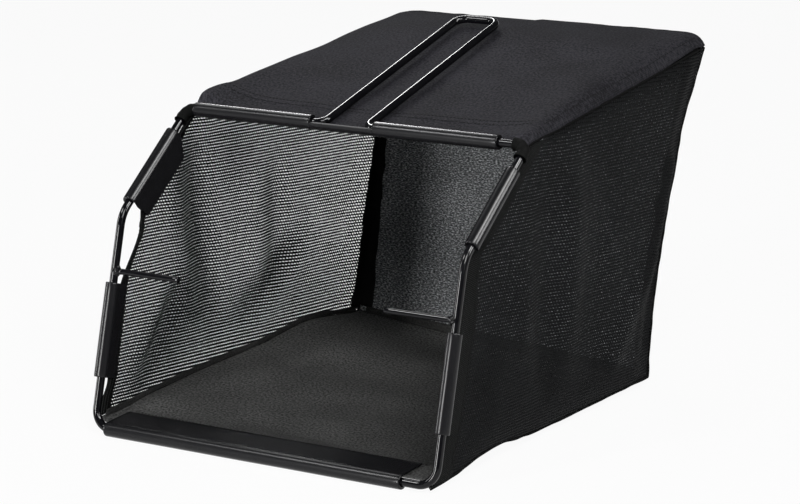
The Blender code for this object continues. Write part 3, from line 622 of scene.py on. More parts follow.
def plastic_material(name, colour, roughness, ridge=0.00003, scale=260.0, specular=0.5, worn=0.06):
    """Extruded plastic and painted rod: fine unevenness, and slightly lighter rubbed places."""
    material, tree, shader = new_material(name)
    place = tree.nodes.new("ShaderNodeTexCoord").outputs["Object"]
    fine = noise_node(tree, place, scale, 4.0, 0.6)
    broad = noise_node(tree, place, 38.0, 4.0, 0.5)
    tint = math_node(tree, "ADD", math_node(tree, "MULTIPLY", broad, 0.7),
                     math_node(tree, "MULTIPLY", fine, 0.3))
    light = tuple(min(1.0, c + worn * 0.25) for c in colour)
    tree.links.new(ramp(tree, tint, ((0.35, colour), (0.75, light))), shader.inputs["Base Color"])
    tree.links.new(ramp(tree, tint, ((0.35, (roughness,) * 3), (0.7, (roughness + worn * 2,) * 3))),
                   shader.inputs["Roughness"])
    height = math_node(tree, "ADD", math_node(tree, "MULTIPLY", fine, 0.5),
                       math_node(tree, "MULTIPLY", broad, 1.5))
    tree.links.new(bump_node(tree, height, ridge), shader.inputs["Normal"])
    shader.inputs["Specular IOR Level"].default_value = specular
    return material


def yarn_material(name, dark, light, roughness):
    """Filament yarn: fine fibres with a slight sheen."""
    material, tree, shader = new_material(name)
    place = tree.nodes.new("ShaderNodeTexCoord").outputs["Object"]
    fibre = noise_node(tree, place, 1500.0, 3.0, 0.7)
    broad = noise_node(tree, place, 22.0, 4.0, 0.6)
    tone = math_node(tree, "ADD", math_node(tree, "MULTIPLY", fibre, 0.5),
                     math_node(tree, "MULTIPLY", broad, 0.5))
    tree.links.new(ramp(tree, tone, ((0.36, dark), (0.62, light))), shader.inputs["Base Color"])
    tree.links.new(bump_node(tree, fibre, 0.0001), shader.inputs["Normal"])
    shader.inputs["Roughness"].default_value = roughness
    shader.inputs["Specular IOR Level"].default_value = 0.06
    return material


ROD_PAINT = plastic_material("rod_gloss_paint", (0.002, 0.002, 0.003), 0.07, 0.000006, 300.0, 0.24, 0.02)
CLIP_BLACK = plastic_material("profile_plastic", (0.007, 0.007, 0.008), 0.25, 0.00004, 300.0, 0.22, 0.008)
TOP_CLOTH = cloth_material("coated_cloth", ((0.39, (0.013, 0.0125, 0.0155)), (0.57, (0.047, 0.046, 0.054))),
                           0.0008, 0.00014, 0.80, 430.0, 0.60, 0.30)
FLOOR_CLOTH = cloth_material("floor_cloth", ((0.37, (0.020, 0.020, 0.020)), (0.55, (0.125, 0.125, 0.122))),
                             0.0009, 0.00016, 0.72, 460.0, 0.70, 0.14)
BAND_CLOTH = cloth_material("floor_band", ((0.38, (0.010, 0.010, 0.010)), (0.58, (0.050, 0.050, 0.048))),
                            0.0009, 0.00020, 0.72, 460.0, 0.50, 0.30)
BACK_CLOTH = cloth_material("back_cloth", ((0.36, (0.020, 0.021, 0.022)), (0.50, (0.110, 0.115, 0.119)),
                                           (0.63, (0.520, 0.530, 0.540))),
                            0.0011, 0.0003, 0.75, 950.0, 0.80, 0.12, (0.42, 1.0, 1.0))
NET_YARN = yarn_material("net_yarn", (0.0020, 0.0022, 0.0025), (0.0068, 0.0074, 0.0081), 0.60)
HEM_CLOTH = cloth_material("net_hem", ((0.44, (0.002, 0.0022, 0.002)), (0.54, (0.034, 0.036, 0.035))),
                           0.0016, 0.0006, 0.75, 520.0, 0.30, 0.10)
TAPE_CLOTH = cloth_material("binding_tape", ((0.30, (0.002, 0.002, 0.002)), (0.75, (0.012, 0.012, 0.012))),
                            0.0009, 0.00025, 0.80)
THREAD = yarn_material("sewing_thread", (0.004, 0.004, 0.004), (0.020, 0.020, 0.021), 0.7)


# Rod frame and pins

BEND_STEPS = 18


def corner_arc(before, corner, after, radius):
    back = (before - corner).normalized()
    ahead = (after - corner).normalized()
    opening = back.angle(ahead)
    centre = corner + (back + ahead).normalized() * radius / math.sin(opening / 2)
    start = corner + back * radius / math.tan(opening / 2)
    axis = (start - centre).cross(corner - start).normalized()
    sweep = math.pi - opening
    return [centre + Matrix.Rotation(sweep * k / BEND_STEPS, 3, axis) @ (start - centre)
            for k in range(BEND_STEPS + 1)]


def frame_path():
    bottom = Vector((0, *BOTTOM_CORNER))
    kink = Vector((0, *KINK_CORNER))
    top = Vector((0, *TOP_CORNER))
    end = top + Vector((0, HANDLE_REACH, HANDLE_RISE))
    corners = []
    for side in (1, -1):
        shift = Vector((side * HALF_FRAME, 0, 0))
        root = Vector((HANDLE_OFFSET + side * HANDLE_WIDTH / 2, 0, 0))
        half = [(bottom + shift, BOTTOM_BEND_RADIUS), (kink + shift, KINK_BEND_RADIUS),
                (top + shift, TOP_BEND_RADIUS), (top + root, HANDLE_ROOT_RADIUS), (end + root, HANDLE_END_RADIUS)]
        corners.extend(half if side == 1 else reversed(half))
    points = []
    for index, (corner, radius) in enumerate(corners):
        arc = corner_arc(corners[index - 1][0], corner, corners[(index + 1) % len(corners)][0], radius)
        if points:
            start = Vector(points[-1])
            count = max(1, int((arc[0] - start).length / 0.006))
            points.extend(tuple(start.lerp(arc[0], k / count)) for k in range(1, count))
        points.extend(tuple(point) for point in arc)
    start, end = Vector(points[-1]), Vector(points[0])
    count = max(1, int((end - start).length / 0.006))
    points.extend(tuple(start.lerp(end, k / count)) for k in range(1, count))
    return points


def build_corner_wraps():
    """Net cloth pulled round the rod at both top corners."""
    made = {}
    top = Vector((0, *TOP_CORNER))
    for side, label in ((-1, "left"), (1, "right")):
        shift = Vector((side * HALF_FRAME, 0, 0))
        below = Vector((0, *KINK_CORNER)) + shift
        arc = corner_arc(below, top + shift, top, TOP_BEND_RADIUS)
        down = (below - arc[0]).normalized()
        inward = Vector((-side, 0, 0))
        path = [arc[0] + down * d for d in (0.0045, 0.0030, 0.0015)] + arc
        path += [arc[-1] + inward * d for d in (0.0007, 0.0014)]
        radius = ROD_RADIUS + 0.0017 + wander(len(path), 70 + side, 0.0007, 3)
        radius[[0, -1]] += 0.0005
        wrap = tube(label + "_corner_wrap", [tuple(point) for point in path], radius, HEM_CLOTH, sides=22,
                    caps=False)
        solid = wrap.modifiers.new("thickness", "SOLIDIFY")
        solid.thickness = 0.0006
        made[label] = wrap
    return made


def build_frame():
    rod = tube("frame_rod_bent", frame_path(), ROD_RADIUS, ROD_PAINT, sides=20, closed=True)
    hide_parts("frame_rod")


# Cloth panels

def steps(*spans):
    """Grid places from (start, end, count) spans that follow one another."""
    values = [spans[0][0]]
    for start, end, count in spans:
        values.extend(np.linspace(start, end, count + 1)[1:])
    return np.array(values)


def build_panels():
    across = steps((0, 0.12, 26), (0.12, 0.88, 56), (0.88, 1, 26))
    top = cloth_sheet("top_cloth", top_surface, across, np.linspace(0, 1, 110), (0.345, 0.335), TOP_CLOTH,
                      0.0008)
    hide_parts("top_panel")
    floor = cloth_sheet("floor_cloth", floor_surface, across, np.linspace(0, 1, 110), (0.345, 0.380), FLOOR_CLOTH,
                        0.0008)
    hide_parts("floor_panel")
    back = cloth_sheet("back_cloth", back_surface, np.linspace(0, 1, 80), np.linspace(0, 1, 80), (0.320, 0.290),
                       BACK_CLOTH, 0.0008)
    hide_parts("back_panel")
    return top, floor, back


# Net

NET_PITCH = 0.0030
NET_ROW = 0.00268
NET_TILT = math.radians(-3.3)
NET_ZIG = 0.00014
NET_SLANT = 0.00036
HOLE_WIDTH = 0.00205
HOLE_HEIGHT = 0.00069
YARN_RISE = 0.00045


def unproject_side(side, y, z):
    """u, v of points of the (y, z) plane on the side patch, and how far each lands from its point."""
    v = np.clip((z - SEAM_LIFT_REAR) / (REAR_TOP_HEIGHT - SEAM_LIFT_REAR), 0.0, 1.0)
    front = mouth_seam(side, v)[1]
    u = np.clip((y - front) / (rear_seam(side, v)[1] - front), 0.0, 1.0)
    h = 0.0005
    for _ in range(10):
        _, py, pz, _ = side_plain(side, u, v)
        _, yu, zu, _ = side_plain(side, u + h, v)
        _, yv, zv, _ = side_plain(side, u, v + h)
        a, b, c, d = (yu - py) / h, (yv - py) / h, (zu - pz) / h, (zv - pz) / h
        det = a * d - b * c
        ry, rz = y - py, z - pz
        u = np.clip(u + (d * ry - b * rz) / det, -0.02, 1.02)
        v = np.clip(v + (a * rz - c * ry) / det, -0.02, 1.02)
    _, py, pz, _ = side_plain(side, u, v)
    return u, v, np.hypot(y - py, z - pz)


def openness(side, y, z):
    """Share of the full hole that stays open. On the right it is about a third, with a slow random change. On the
    left it is larger towards the rear and smaller low down. It is much smaller along the folds, where the net is
    gathered, and there the closed holes also darken the net as painted shade.
    """
    if side > 0:
        return 0.30 + 0.16 * np.sin(31 * y + 9 * z) * np.sin(23 * z - 12 * y)
    share = 0.90 + 0.26 * ease((y - 0.27) / 0.10) - 0.28 * ease((0.115 - z) / 0.06)
    # Closing the holes along the folds darkens the net in the folds' shaded flanks. This is painted shade, and it
    # partly stands for net gathered in the folds.
    share -= 1.05 * bump_line(y, z, ((0.138, 0.225), (0.156, 0.072)), 0.020)
    share -= 0.45 * bump_line(y, z, ((0.118, 0.240), (0.122, 0.140)), 0.016)
    share -= 0.50 * bump_line(y, z, ((0.262, 0.180), (0.258, 0.085)), 0.013)
    share -= 0.88 * bump_line(y, z, ((0.120, 0.112), (0.052, 0.028)), 0.014)
    share -= 0.45 * bump_line(y, z, ((0.150, 0.100), (0.090, 0.040)), 0.018)
    share -= 0.50 * bump_line(y, z, ((0.305, 0.112), (0.205, 0.060)), 0.011)
    share -= 0.30 * bump_line(y, z, ((0.200, 0.235), (0.215, 0.180)), 0.030)
    return np.clip(share, 0.10, 1.4)


def build_net(side, label):
    rows = 116
    columns = 330
    rng = np.random.default_rng(7 + side)
    j, i = np.meshgrid(np.arange(rows), np.arange(columns), indexing="ij")
    sway = rng.normal(0, 0.00007, (rows, columns))
    drift = rng.normal(0, 0.00012, (rows, columns))
    s_middle = i * NET_PITCH / 2 + drift
    even = np.where((i + j) % 2 == 0, 1.0, -1.0)
    t_middle = j * NET_ROW + NET_ZIG * even + sway
    y_plain = -0.012 + s_middle * math.cos(NET_TILT) - t_middle * math.sin(NET_TILT)
    z_plain = 0.002 + s_middle * math.sin(NET_TILT) + t_middle * math.cos(NET_TILT)
    share = openness(side, y_plain, z_plain)
    link = (NET_PITCH - HOLE_WIDTH * share ** 0.10) / 2
    yarn = (NET_ROW - HOLE_HEIGHT * share ** 0.90) / 2
    slant = NET_SLANT * share
    s = np.stack([s_middle - link, s_middle + link], -1).reshape(rows, columns * 2)
    t = np.stack([t_middle + slant, t_middle - slant], -1).reshape(rows, columns * 2)
    s3 = np.repeat(s[:, :, None], 3, 2)
    t3 = t[:, :, None] + np.repeat(yarn, 2, axis=1)[:, :, None] * np.array([-1.0, 0.0, 1.0])
    y = -0.012 + s3 * math.cos(NET_TILT) - t3 * math.sin(NET_TILT)
    z = 0.002 + s3 * math.sin(NET_TILT) + t3 * math.cos(NET_TILT)
    u, v, miss = unproject_side(side, y, z)
    inside = (miss < 0.0003) & (u > 0.002) & (u < 0.998) & (v > 0.003) & (v < 0.997)
    points = side_surface(side, u, v)
    outward = normals(lambda a, b: side_surface(side, a, b), u, v, -1)
    points = points + outward * np.array([-0.3, 1.0, -0.3])[None, None, :, None] * YARN_RISE
    width = columns * 2
    index = np.arange(rows * width * 3).reshape(rows, width, 3)
    quads = []
    for m in (0, 1):
        quads.append(np.stack([index[:, :-1, m], index[:, 1:, m], index[:, 1:, m + 1], index[:, :-1, m + 1]],
                              -1).reshape(-1, 4))
    left = index[:, 0::2]
    right = index[:, 1::2]
    bridge = np.stack([left[:-1, :, 2], right[:-1, :, 2], right[1:, :, 0], left[1:, :, 0]], -1)
    quads.append(bridge[even[:-1] > 0].reshape(-1, 4))
    quads = np.concatenate(quads)
    keep = inside.reshape(-1)[quads].all(1)
    quads = quads[keep]
    used, renumbered = np.unique(quads, return_inverse=True)
    uv = np.stack([s3, t3], -1).reshape(-1, 2)[used]
    net = make_object(label + "_net", points.reshape(-1, 3)[used], renumbered.reshape(quads.shape).tolist(),
                      NET_YARN, uv)
    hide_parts(label + "_net_panel")
    return net


def net_area(side):
    """Area of a side panel's cloth less the net's openings, in square metres."""
    u, v = np.meshgrid(np.linspace(0, 1, 121), np.linspace(0, 1, 121))
    points = side_surface(side, u, v)
    corner = points[:-1, :-1]
    cell = np.linalg.norm(np.cross(points[1:, :-1] - corner, points[:-1, 1:] - corner), axis=-1)
    open_share = HOLE_WIDTH * HOLE_HEIGHT / (NET_PITCH * NET_ROW)
    open_share = open_share * openness(side, corner[..., 1], corner[..., 2])
    return round(float((cell * (1 - open_share)).sum()), 4)


# Seams, tapes and hems

def strip(name, lines, material, replaced, thickness=0.0006):
    """Cloth strip through several lines of points, given as arrays of equal length."""
    lines = [np.asarray(line) for line in lines]
    columns = len(lines)
    rows = len(lines[0])
    points = np.stack(lines, 1).reshape(-1, 3)
    along = np.concatenate([[0], np.cumsum(np.linalg.norm(np.diff(lines[0], axis=0), axis=1))])
    wide = np.concatenate([[0], np.cumsum([np.linalg.norm(lines[k + 1][rows // 2] - lines[k][rows // 2])
                                           for k in range(columns - 1)])])
    uv = np.stack(np.meshgrid(wide, along), -1).reshape(-1, 2)
    thing = make_object(name, points, grid_faces(rows, columns), material, uv)
    solid = thing.modifiers.new("thickness", "SOLIDIFY")
    solid.thickness = thickness
    solid.offset = 0.0
    if replaced:
        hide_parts(replaced)
    return thing


def wander(count, seed, size, smooth=5):
    """Slow random waver of a hand-guided edge."""
    rng = np.random.default_rng(seed)
    raw = rng.normal(0, 1, count + 2 * smooth)
    kernel = np.hanning(2 * smooth + 1)
    return np.convolve(raw, kernel / kernel.sum(), "valid")[:count] * size


def seam_tape(name, first, second, places, seed, material=None, legs=(TAPE_LEG, TAPE_LEG), waver=0.0020):
    """Tape in the angle of two panels; each panel is read as (place, distance) -> point, inward normal."""
    count = len(places)
    leg_a = legs[0] + wander(count, seed, waver)
    leg_b = legs[1] + wander(count, seed + 50, waver)
    rise = CLOTH / 2 + TAPE_GAP + wander(count, seed + 90, 0.0004)[:, None] + 0.0002
    lines = []
    for fraction in (1.0, 0.55, 0.2):
        point, normal = first(places, leg_a * fraction)
        lines.append(point + normal * rise)
    point_a, normal_a = first(places, 0 * places)
    point_b, normal_b = second(places, 0 * places)
    corner = normal_a + normal_b
    corner /= 1 + np.sum(normal_a * normal_b, -1, keepdims=True)
    lines.append((point_a + point_b) / 2 + corner * rise * 1.6)
    for fraction in (0.2, 0.55, 1.0):
        point, normal = second(places, leg_b * fraction)
        lines.append(point + normal * rise)
    return strip(name.replace("_seam_tape", "_tape"), lines, material or TAPE_CLOTH, name)


def reader(surface, place):
    def read(s, distance):
        u, v = place(s, distance)
        u = np.clip(u, 0, 1)
        v = np.clip(v, 0, 1)
        return surface(u, v), normals(surface, u, v, 1)
    return read


def build_tapes():
    width, height, floor_depth = REAR_TOP_WIDTH, REAR_TOP_HEIGHT, REAR_BOTTOM_Y
    top_depth = REAR_TOP_Y - MOUTH_SETBACK
    side_depth = REAR_TOP_Y - MOUTH_SETBACK * 0.6
    made = {"left": [], "right": [], "rear": []}
    for side, label in ((-1, "left"), (1, "right")):
        near = 0.0 if side < 0 else 1.0

        def panel(u, v, side=side):
            return side_surface(side, u, v)

        def across(distance, side=side, near=near):
            return near - side * distance / width

        along = np.linspace(0.02, 0.99, 100)
        wide = 0.0088 + 0.0055 * (1 - along) ** 3
        made[label].append(seam_tape(label + "_rear_seam_tape", reader(panel, lambda s, d: (1 - d / side_depth, s)),
                                     reader(back_surface, lambda s, d: (across(d), s)), along, 11 + side,
                                     legs=(wide, wide + 0.0010)))
        along = np.linspace(0.014, 0.985, 110)
        made[label].append(seam_tape(label + "_floor_seam_tape", reader(panel, lambda s, d: (s, d / height)),
                                     reader(floor_surface, lambda s, d: (across(d), s)), along, 21 + side,
                                     BAND_CLOTH, (0.0052, 0.0014), 0.0005))
        along = np.linspace(0.11, 0.975, 90)
        made[label].append(seam_tape(label + "_top_seam_tape", reader(panel, lambda s, d: (s, 1 - d / height)),
                                     reader(top_surface, lambda s, d: (across(d), s)), along, 31 + side))
    along = np.linspace(0.03, 0.97, 90)
    made["rear"].append(seam_tape("rear_floor_seam_tape",
                                  reader(back_surface, lambda s, d: (s, d / height)),
                                  reader(floor_surface, lambda s, d: (s, 1 - d / floor_depth)), along, 41,
                                  BAND_CLOTH, (0.0060, 0.0020), 0.0006))
    made["rear"].append(seam_tape("rear_top_seam_tape",
                                  reader(back_surface, lambda s, d: (s, 1 - d / height)),
                                  reader(top_surface, lambda s, d: (s, 1 - d / top_depth)), along, 43))
    return made


OUTER_HEM = {"left": 0.013, "right": 0.031}


def build_hem(side, label):
    """Folded hem along the front edge of a side panel, all the way up; its outer leg is the wider one."""
    v = np.linspace(0.004, 0.995, 150)
    front = mouth_seam(side, v)[1]
    depth = rear_seam(side, v)[1] - front
    arc = mouth_arc(side, v)
    on_low = ease((LOWER_PROFILE_START + LOWER_PROFILE_LENGTH - arc) / 0.020 + 0.5)
    upper = LOWER_LENGTH + UPPER_PROFILE_START
    on_high = ease((arc - upper) / 0.012 + 0.5)
    inner = mix(HEM_WIDTH, LOWER_FLANGE_WIDTH + HEM_WIDTH - MOUTH_INSET, on_low)
    inner = mix(inner, UPPER_FLANGE_WIDTH + 0.0045 - MOUTH_INSET, on_high) + wander(len(v), 5 + side, 0.0010)
    outer = OUTER_HEM[label] - kink_slack(arc) * 0.6 + wander(len(v), 15 + side, 0.0008)
    lines = []
    for distance, lift in ((inner, 0.0002), (inner * 0.5, 0.0004), (0 * v + 0.0006, 0.0004), (0 * v, 0.0),
                           (0 * v + 0.0006, -0.0012), (outer * 0.33, -0.0018), (outer * 0.66, -0.0018),
                           (outer * 0.97, -0.0013), (outer, -0.0004)):
        u = distance / depth
        point = side_surface(side, u, v)
        lines.append(point + normals(lambda a, b: side_surface(side, a, b), u, v, 1) * lift)
    hem = strip(label + "_hem", lines, HEM_CLOTH, label + "_mouth_hem", 0.0003)
    made = [hem]
    for number, (share, lift) in enumerate(((0.93, -0.0018), (0.82, -0.0022))):
        u = outer * share / depth
        row = side_surface(side, u, v) + normals(lambda a, b: side_surface(side, a, b), u, v, 1) * lift
        made.append(stitches(f"{label}_hem_stitches_{number + 1}", row, 0.0036, 0.0026, 0.00028, THREAD,
                             (side, 0, 0)))
    return made


def seam_roll(name, path, radius, material, seed):
    """Rolled seam edge along a seam line."""
    roll = tube(name, path, radius * (1 + wander(len(path), seed, 0.5)), material, sides=8)
    return roll


def build_seam_rolls():
    t = np.linspace(0.0, 1.0, 140)
    made = []
    for side, label in ((-1, "left"), (1, "right")):
        x, y, z = top_seam(side, t)
        made.append(seam_roll(label + "_top_seam", np.stack([side * x, y, z], -1), 0.0008, TAPE_CLOTH,
                              61))
        x, y, z = floor_seam(side, t)
        made.append(seam_roll(label + "_floor_seam", np.stack([side * x, y, z], -1), 0.0010, HEM_CLOTH,
                              62))
        x, y, z = rear_seam(side, t)
        made.append(seam_roll(label + "_rear_seam", np.stack([side * x, y, z], -1), 0.0010, HEM_CLOTH,
                              63))
    made.append(seam_roll("rear_top_seam", back_surface(t, np.ones_like(t)), 0.0010, TOP_CLOTH,
                          64))
    made.append(seam_roll("rear_floor_seam", back_surface(t, np.zeros_like(t)), 0.0011, FLOOR_CLOTH,
                          65))
    return made


def lifted(surface, u, v, inside, lift):
    return surface(u, v) + normals(surface, u, v, inside) * lift


def build_stitching():
    """Thread rows on the top, the floor band and the seams, seen from outside or from the mouth."""
    made = []

    def row(name, path, up, slot, pitch=0.0036):
        thing = stitches(name, path, pitch, pitch * 0.72, 0.00028, THREAD, up)
        made.append(thing)

    u = np.linspace(0.03, 0.97, 90)
    top_depth = REAR_TOP_Y - MOUTH_SETBACK
    for number, distance in enumerate((TOP_FLANGE_WIDTH - 0.003, TOP_FLANGE_WIDTH + 0.003)):
        v = np.full_like(u, distance / top_depth)
        row(f"top_front_stitches_{number + 1}", lifted(top_surface, u, v, -1, 0.0006), (0, 0, 1),
            "coated_cloth")
    v = np.full_like(u, 1 - 0.005 / top_depth)
    row("top_rear_stitches", lifted(top_surface, u, v, -1, 0.0006), (0, 0, 1), "coated_cloth")
    v = np.full_like(u, 1 - 0.006 / REAR_TOP_HEIGHT)
    row("back_top_stitches", lifted(back_surface, u, v, -1, 0.0006), (0, 1, 0), "back_cloth")
    v = np.linspace(0.12, 0.985, 90)
    for side, label in ((-1, "left"), (1, "right")):
        near = 0.0 if side < 0 else 1.0
        u = np.full_like(v, near - side * 0.005 / REAR_TOP_WIDTH)
        row(label + "_top_stitches", lifted(top_surface, u, v, -1, 0.0006), (0, 0, 1), "coated_cloth")
        row(label + "_back_stitches", lifted(back_surface, u, v, -1, 0.0006), (0, 1, 0), "back_cloth")
        def panel(a, b, side=side):
            return side_surface(side, a, b)
        high = np.full_like(v, 0.0014 / REAR_TOP_HEIGHT)
        row(label + "_floor_band_stitches", lifted(panel, v, high, 1, 0.0020), (-side, 0, 0), "floor_cloth")
    u = np.linspace(0.05, 0.94, 90)
    v = np.full_like(u, (BOTTOM_FLANGE_WIDTH + 0.0035) / REAR_BOTTOM_Y)
    row("floor_front_stitches", lifted(floor_surface, u, v, 1, 0.0006), (0, 0, 1), "floor_cloth")
    return made


# Clip profiles

def ring_section(flange_width, flange_tilt, ring_from=None, ring_to=None):
    """Outline of a clip: an open ring round the rod, with its flange unless the ring starts later."""
    tilt = math.radians(flange_tilt)
    start = math.pi / 2 + tilt
    last = math.radians(360 - CLIP_OPEN_ANGLE) if ring_to is None else ring_to
    along = np.array([math.cos(tilt), math.sin(tilt)])
    across = np.array([-math.sin(tilt), math.cos(tilt)])
    face = CLIP_RADIUS - FLANGE_THICKNESS
    rounding = FLANGE_THICKNESS * 0.4
    points = []
    if ring_from is None:
        tip = across * (CLIP_RADIUS - FLANGE_THICKNESS / 2) + along * (flange_width - rounding)
        for k in range(5):
            angle = -math.pi / 2 + math.pi * k / 4
            points.append(tip + along * math.cos(angle) * rounding
                          + across * math.sin(angle) * FLANGE_THICKNESS / 2)
        for k in range(1, 8):
            points.append(across * CLIP_RADIUS + along * (flange_width - rounding) * (1 - k / 8))
        angles = np.linspace(start, last, 30)
    else:
        angles = np.linspace(ring_from, last, 30)
    for angle in angles:
        points.append(np.array([math.cos(angle), math.sin(angle)]) * CLIP_RADIUS)
    middle = (CLIP_BORE + CLIP_RADIUS) / 2
    wall = CLIP_RADIUS - CLIP_BORE
    lip = last + wall * 0.35 / middle
    points.append(np.array([math.cos(lip), math.sin(lip)]) * middle)
    for angle in angles[::-1]:
        points.append(np.array([math.cos(angle), math.sin(angle)]) * CLIP_BORE)
    if ring_from is None:
        for k in range(0, 8):
            points.append(across * face + along * (flange_width - rounding) * k / 8)
    return np.array(points)


def profile(name, start, end, rearward, inward, section, node, mitre=(0.0, 0.0), seed=1):
    """Extruded clip with softened ends and a slightly wavy flange."""
    start, end = np.array(start, dtype=float), np.array(end, dtype=float)
    rearward, inward = np.array(rearward, dtype=float), np.array(inward, dtype=float)
    length = float(np.linalg.norm(end - start))
    run = (end - start) / length
    count = max(12, int(length / 0.005))
    stations = np.concatenate([[0.0, 0.0003], np.linspace(0.0010, length - 0.0010, count),
                               [length - 0.0003, length]])
    following = np.roll(section, -1, 0) - np.roll(section, 1, 0)
    inset = np.stack([-following[:, 1], following[:, 0]], -1)
    inset /= np.linalg.norm(inset, axis=1, keepdims=True) + 1e-12
    area = np.sum(section[:, 0] * np.roll(section[:, 1], -1) - np.roll(section[:, 0], -1) * section[:, 1])
    inset *= np.sign(area)
    soft = np.full(len(stations), 0.0)
    soft[[0, -1]] = 0.00035
    soft[[1, -2]] = 0.00010
    shift = wander(len(stations), seed, 0.00015, 9)
    curl = wander(len(stations), seed + 9, 0.00025, 11)
    points = []
    for k, place in enumerate(stations):
        ring = section + inset * soft[k]
        beyond = np.maximum(0.0, ring[:, 0] - CLIP_RADIUS)
        share = place / length
        reach = place + beyond * (mitre[0] * (1 - share) - mitre[1] * share)
        wave = curl[k] * beyond / 0.03 + shift[k] * (ring[:, 0] < -0.001)
        points.append(start + np.outer(reach, run) + np.outer(ring[:, 0], rearward)
                      + np.outer(ring[:, 1] + wave, inward))
    points = np.concatenate(points)
    rim = np.concatenate([[0], np.cumsum(np.linalg.norm(np.diff(section, axis=0), axis=1))])
    uv = np.stack(np.meshgrid(rim, stations), -1)[..., ::-1].reshape(-1, 2)
    number = len(section)
    faces = grid_faces(len(stations), number, closed=True)
    faces.append(tuple(range(number)))
    faces.append(tuple((len(stations) - 1) * number + i for i in reversed(range(number))))
    thing = make_object(name, points, faces, CLIP_BLACK, uv)
    tidy = bmesh.new()
    tidy.from_mesh(thing.data)
    bmesh.ops.triangulate(tidy, faces=[face for face in tidy.faces if len(face.verts) > 4])
    bmesh.ops.recalc_face_normals(tidy, faces=tidy.faces)
    tidy.to_mesh(thing.data)
    tidy.free()
    thing.data.shade_smooth()
    thing.data.set_sharp_from_angle(angle=math.radians(50))
    if node:
        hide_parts(node)
    return thing


def build_profiles():
    half = BOTTOM_PROFILE_LENGTH / 2
    profile("bottom_clip", (PROFILE_OFFSET - half, *BOTTOM_CORNER), (PROFILE_OFFSET + half, *BOTTOM_CORNER),
            (0, 1, 0), (0, 0, 1), ring_section(BOTTOM_FLANGE_WIDTH, BOTTOM_FLANGE_TILT), "bottom_profile", seed=3)
    half = TOP_PROFILE_LENGTH / 2
    reach = HANDLE_WIDTH / 2 + NOTCH_MARGIN
    tilt = -math.degrees(HANDLE_SLOPE)
    low, high = PROFILE_OFFSET - half, PROFILE_OFFSET + half
    notch = (HANDLE_OFFSET - reach, HANDLE_OFFSET + reach)
    whole = ring_section(TOP_FLANGE_WIDTH, tilt)
    cut = ring_section(TOP_FLANGE_WIDTH, tilt, ring_to=math.pi + math.asin(NOTCH_FLOOR / CLIP_RADIUS))
    for number, (a, b, section) in enumerate(((low, notch[0], whole), (notch[0], notch[1], cut),
                                              (notch[1], high, whole))):
        profile(f"top_clip_{number + 1}", (a, *TOP_CORNER), (b, *TOP_CORNER), (0, 1, 0), (0, 0, -1), section,
                "top_profile", seed=6 + number)
    for side, label in ((-1, "left"), (1, "right")):
        for level, corner, run, back, begin, length, flange, mitre in (
                ("lower", BOTTOM_CORNER, LOWER_RUN, LOWER_BACK, LOWER_PROFILE_START, LOWER_PROFILE_LENGTH,
                 LOWER_FLANGE_WIDTH, (0.0, 0.0)),
                ("upper", KINK_CORNER, UPPER_RUN, UPPER_BACK, UPPER_PROFILE_START, UPPER_PROFILE_LENGTH,
                 UPPER_FLANGE_WIDTH, (UPPER_FLANGE_LOW_MITRE, UPPER_FLANGE_MITRE))):
            start = corner + run * begin
            end = start + run * length
            profile(f"{label}_{level}_clip", (side * HALF_FRAME, *start), (side * HALF_FRAME, *end),
                    (0, *back), (-side, 0, 0), ring_section(flange, 0.0), f"{label}_{level}_profile", mitre,
                    20 + side + len(level) + int(level == "upper"))


def build_pins():
    """Round pins with an uneven weld bead at the root and a flat, slightly rounded end."""
    for side, label in ((-1, "left"), (1, "right")):
        root = BOTTOM_CORNER + LOWER_RUN * PIN_RISE / LOWER_RUN[1]
        place = np.array([side * HALF_FRAME, *root])
        inward = np.array([-side, 0.0, 0.0])
        pin, weld = PIN_DIAMETER / 2, WELD_DIAMETER / 2
        reach = [ROD_RADIUS * 0.6, ROD_RADIUS + 0.0004, ROD_RADIUS + WELD_LENGTH * 0.45, ROD_RADIUS + WELD_LENGTH,
                 *np.linspace(ROD_RADIUS + WELD_LENGTH + 0.002, PIN_REACH - 0.0006, 12), PIN_REACH - 0.0002,
                 PIN_REACH]
        radii = [weld, weld, mix(pin, weld, 0.6), pin, *([pin] * 12), pin - 0.0002, pin - 0.0006]
        thing = tube(label + "_pin", [place + inward * r for r in reach], np.array(radii), ROD_PAINT, sides=20)
        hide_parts(label + "_hook_pin")
        angles = np.linspace(0, 2 * np.pi, 40, endpoint=False)
        rng = np.random.default_rng(90 + side)
        ring = []
        for angle in angles:
            bead = weld * 0.86 * (1 + 0.05 * rng.normal())
            hug = math.sqrt(max(0.0, ROD_RADIUS ** 2 - (bead * math.cos(angle)) ** 2)) + 0.0004
            ring.append(place + inward * hug + np.array([0, *LOWER_BACK]) * bead * math.cos(angle)
                        + np.array([0, *LOWER_RUN]) * bead * math.sin(angle))
        bead = tube(label + "_weld", ring, 0.0009 * (1 + wander(40, 33 + side, 0.6, 2)), ROD_PAINT, sides=10,
                    closed=True)


# Stage and light

def white_for_views(tree):
    """Factor that is 1 for rays that look at the backdrop: camera, glossy and transmission rays."""
    path = tree.nodes.new("ShaderNodeLightPath")
    seen = math_node(tree, "MAXIMUM", path.outputs["Is Camera Ray"], path.outputs["Is Transmission Ray"])
    return math_node(tree, "MAXIMUM", seen, path.outputs["Is Glossy Ray"])


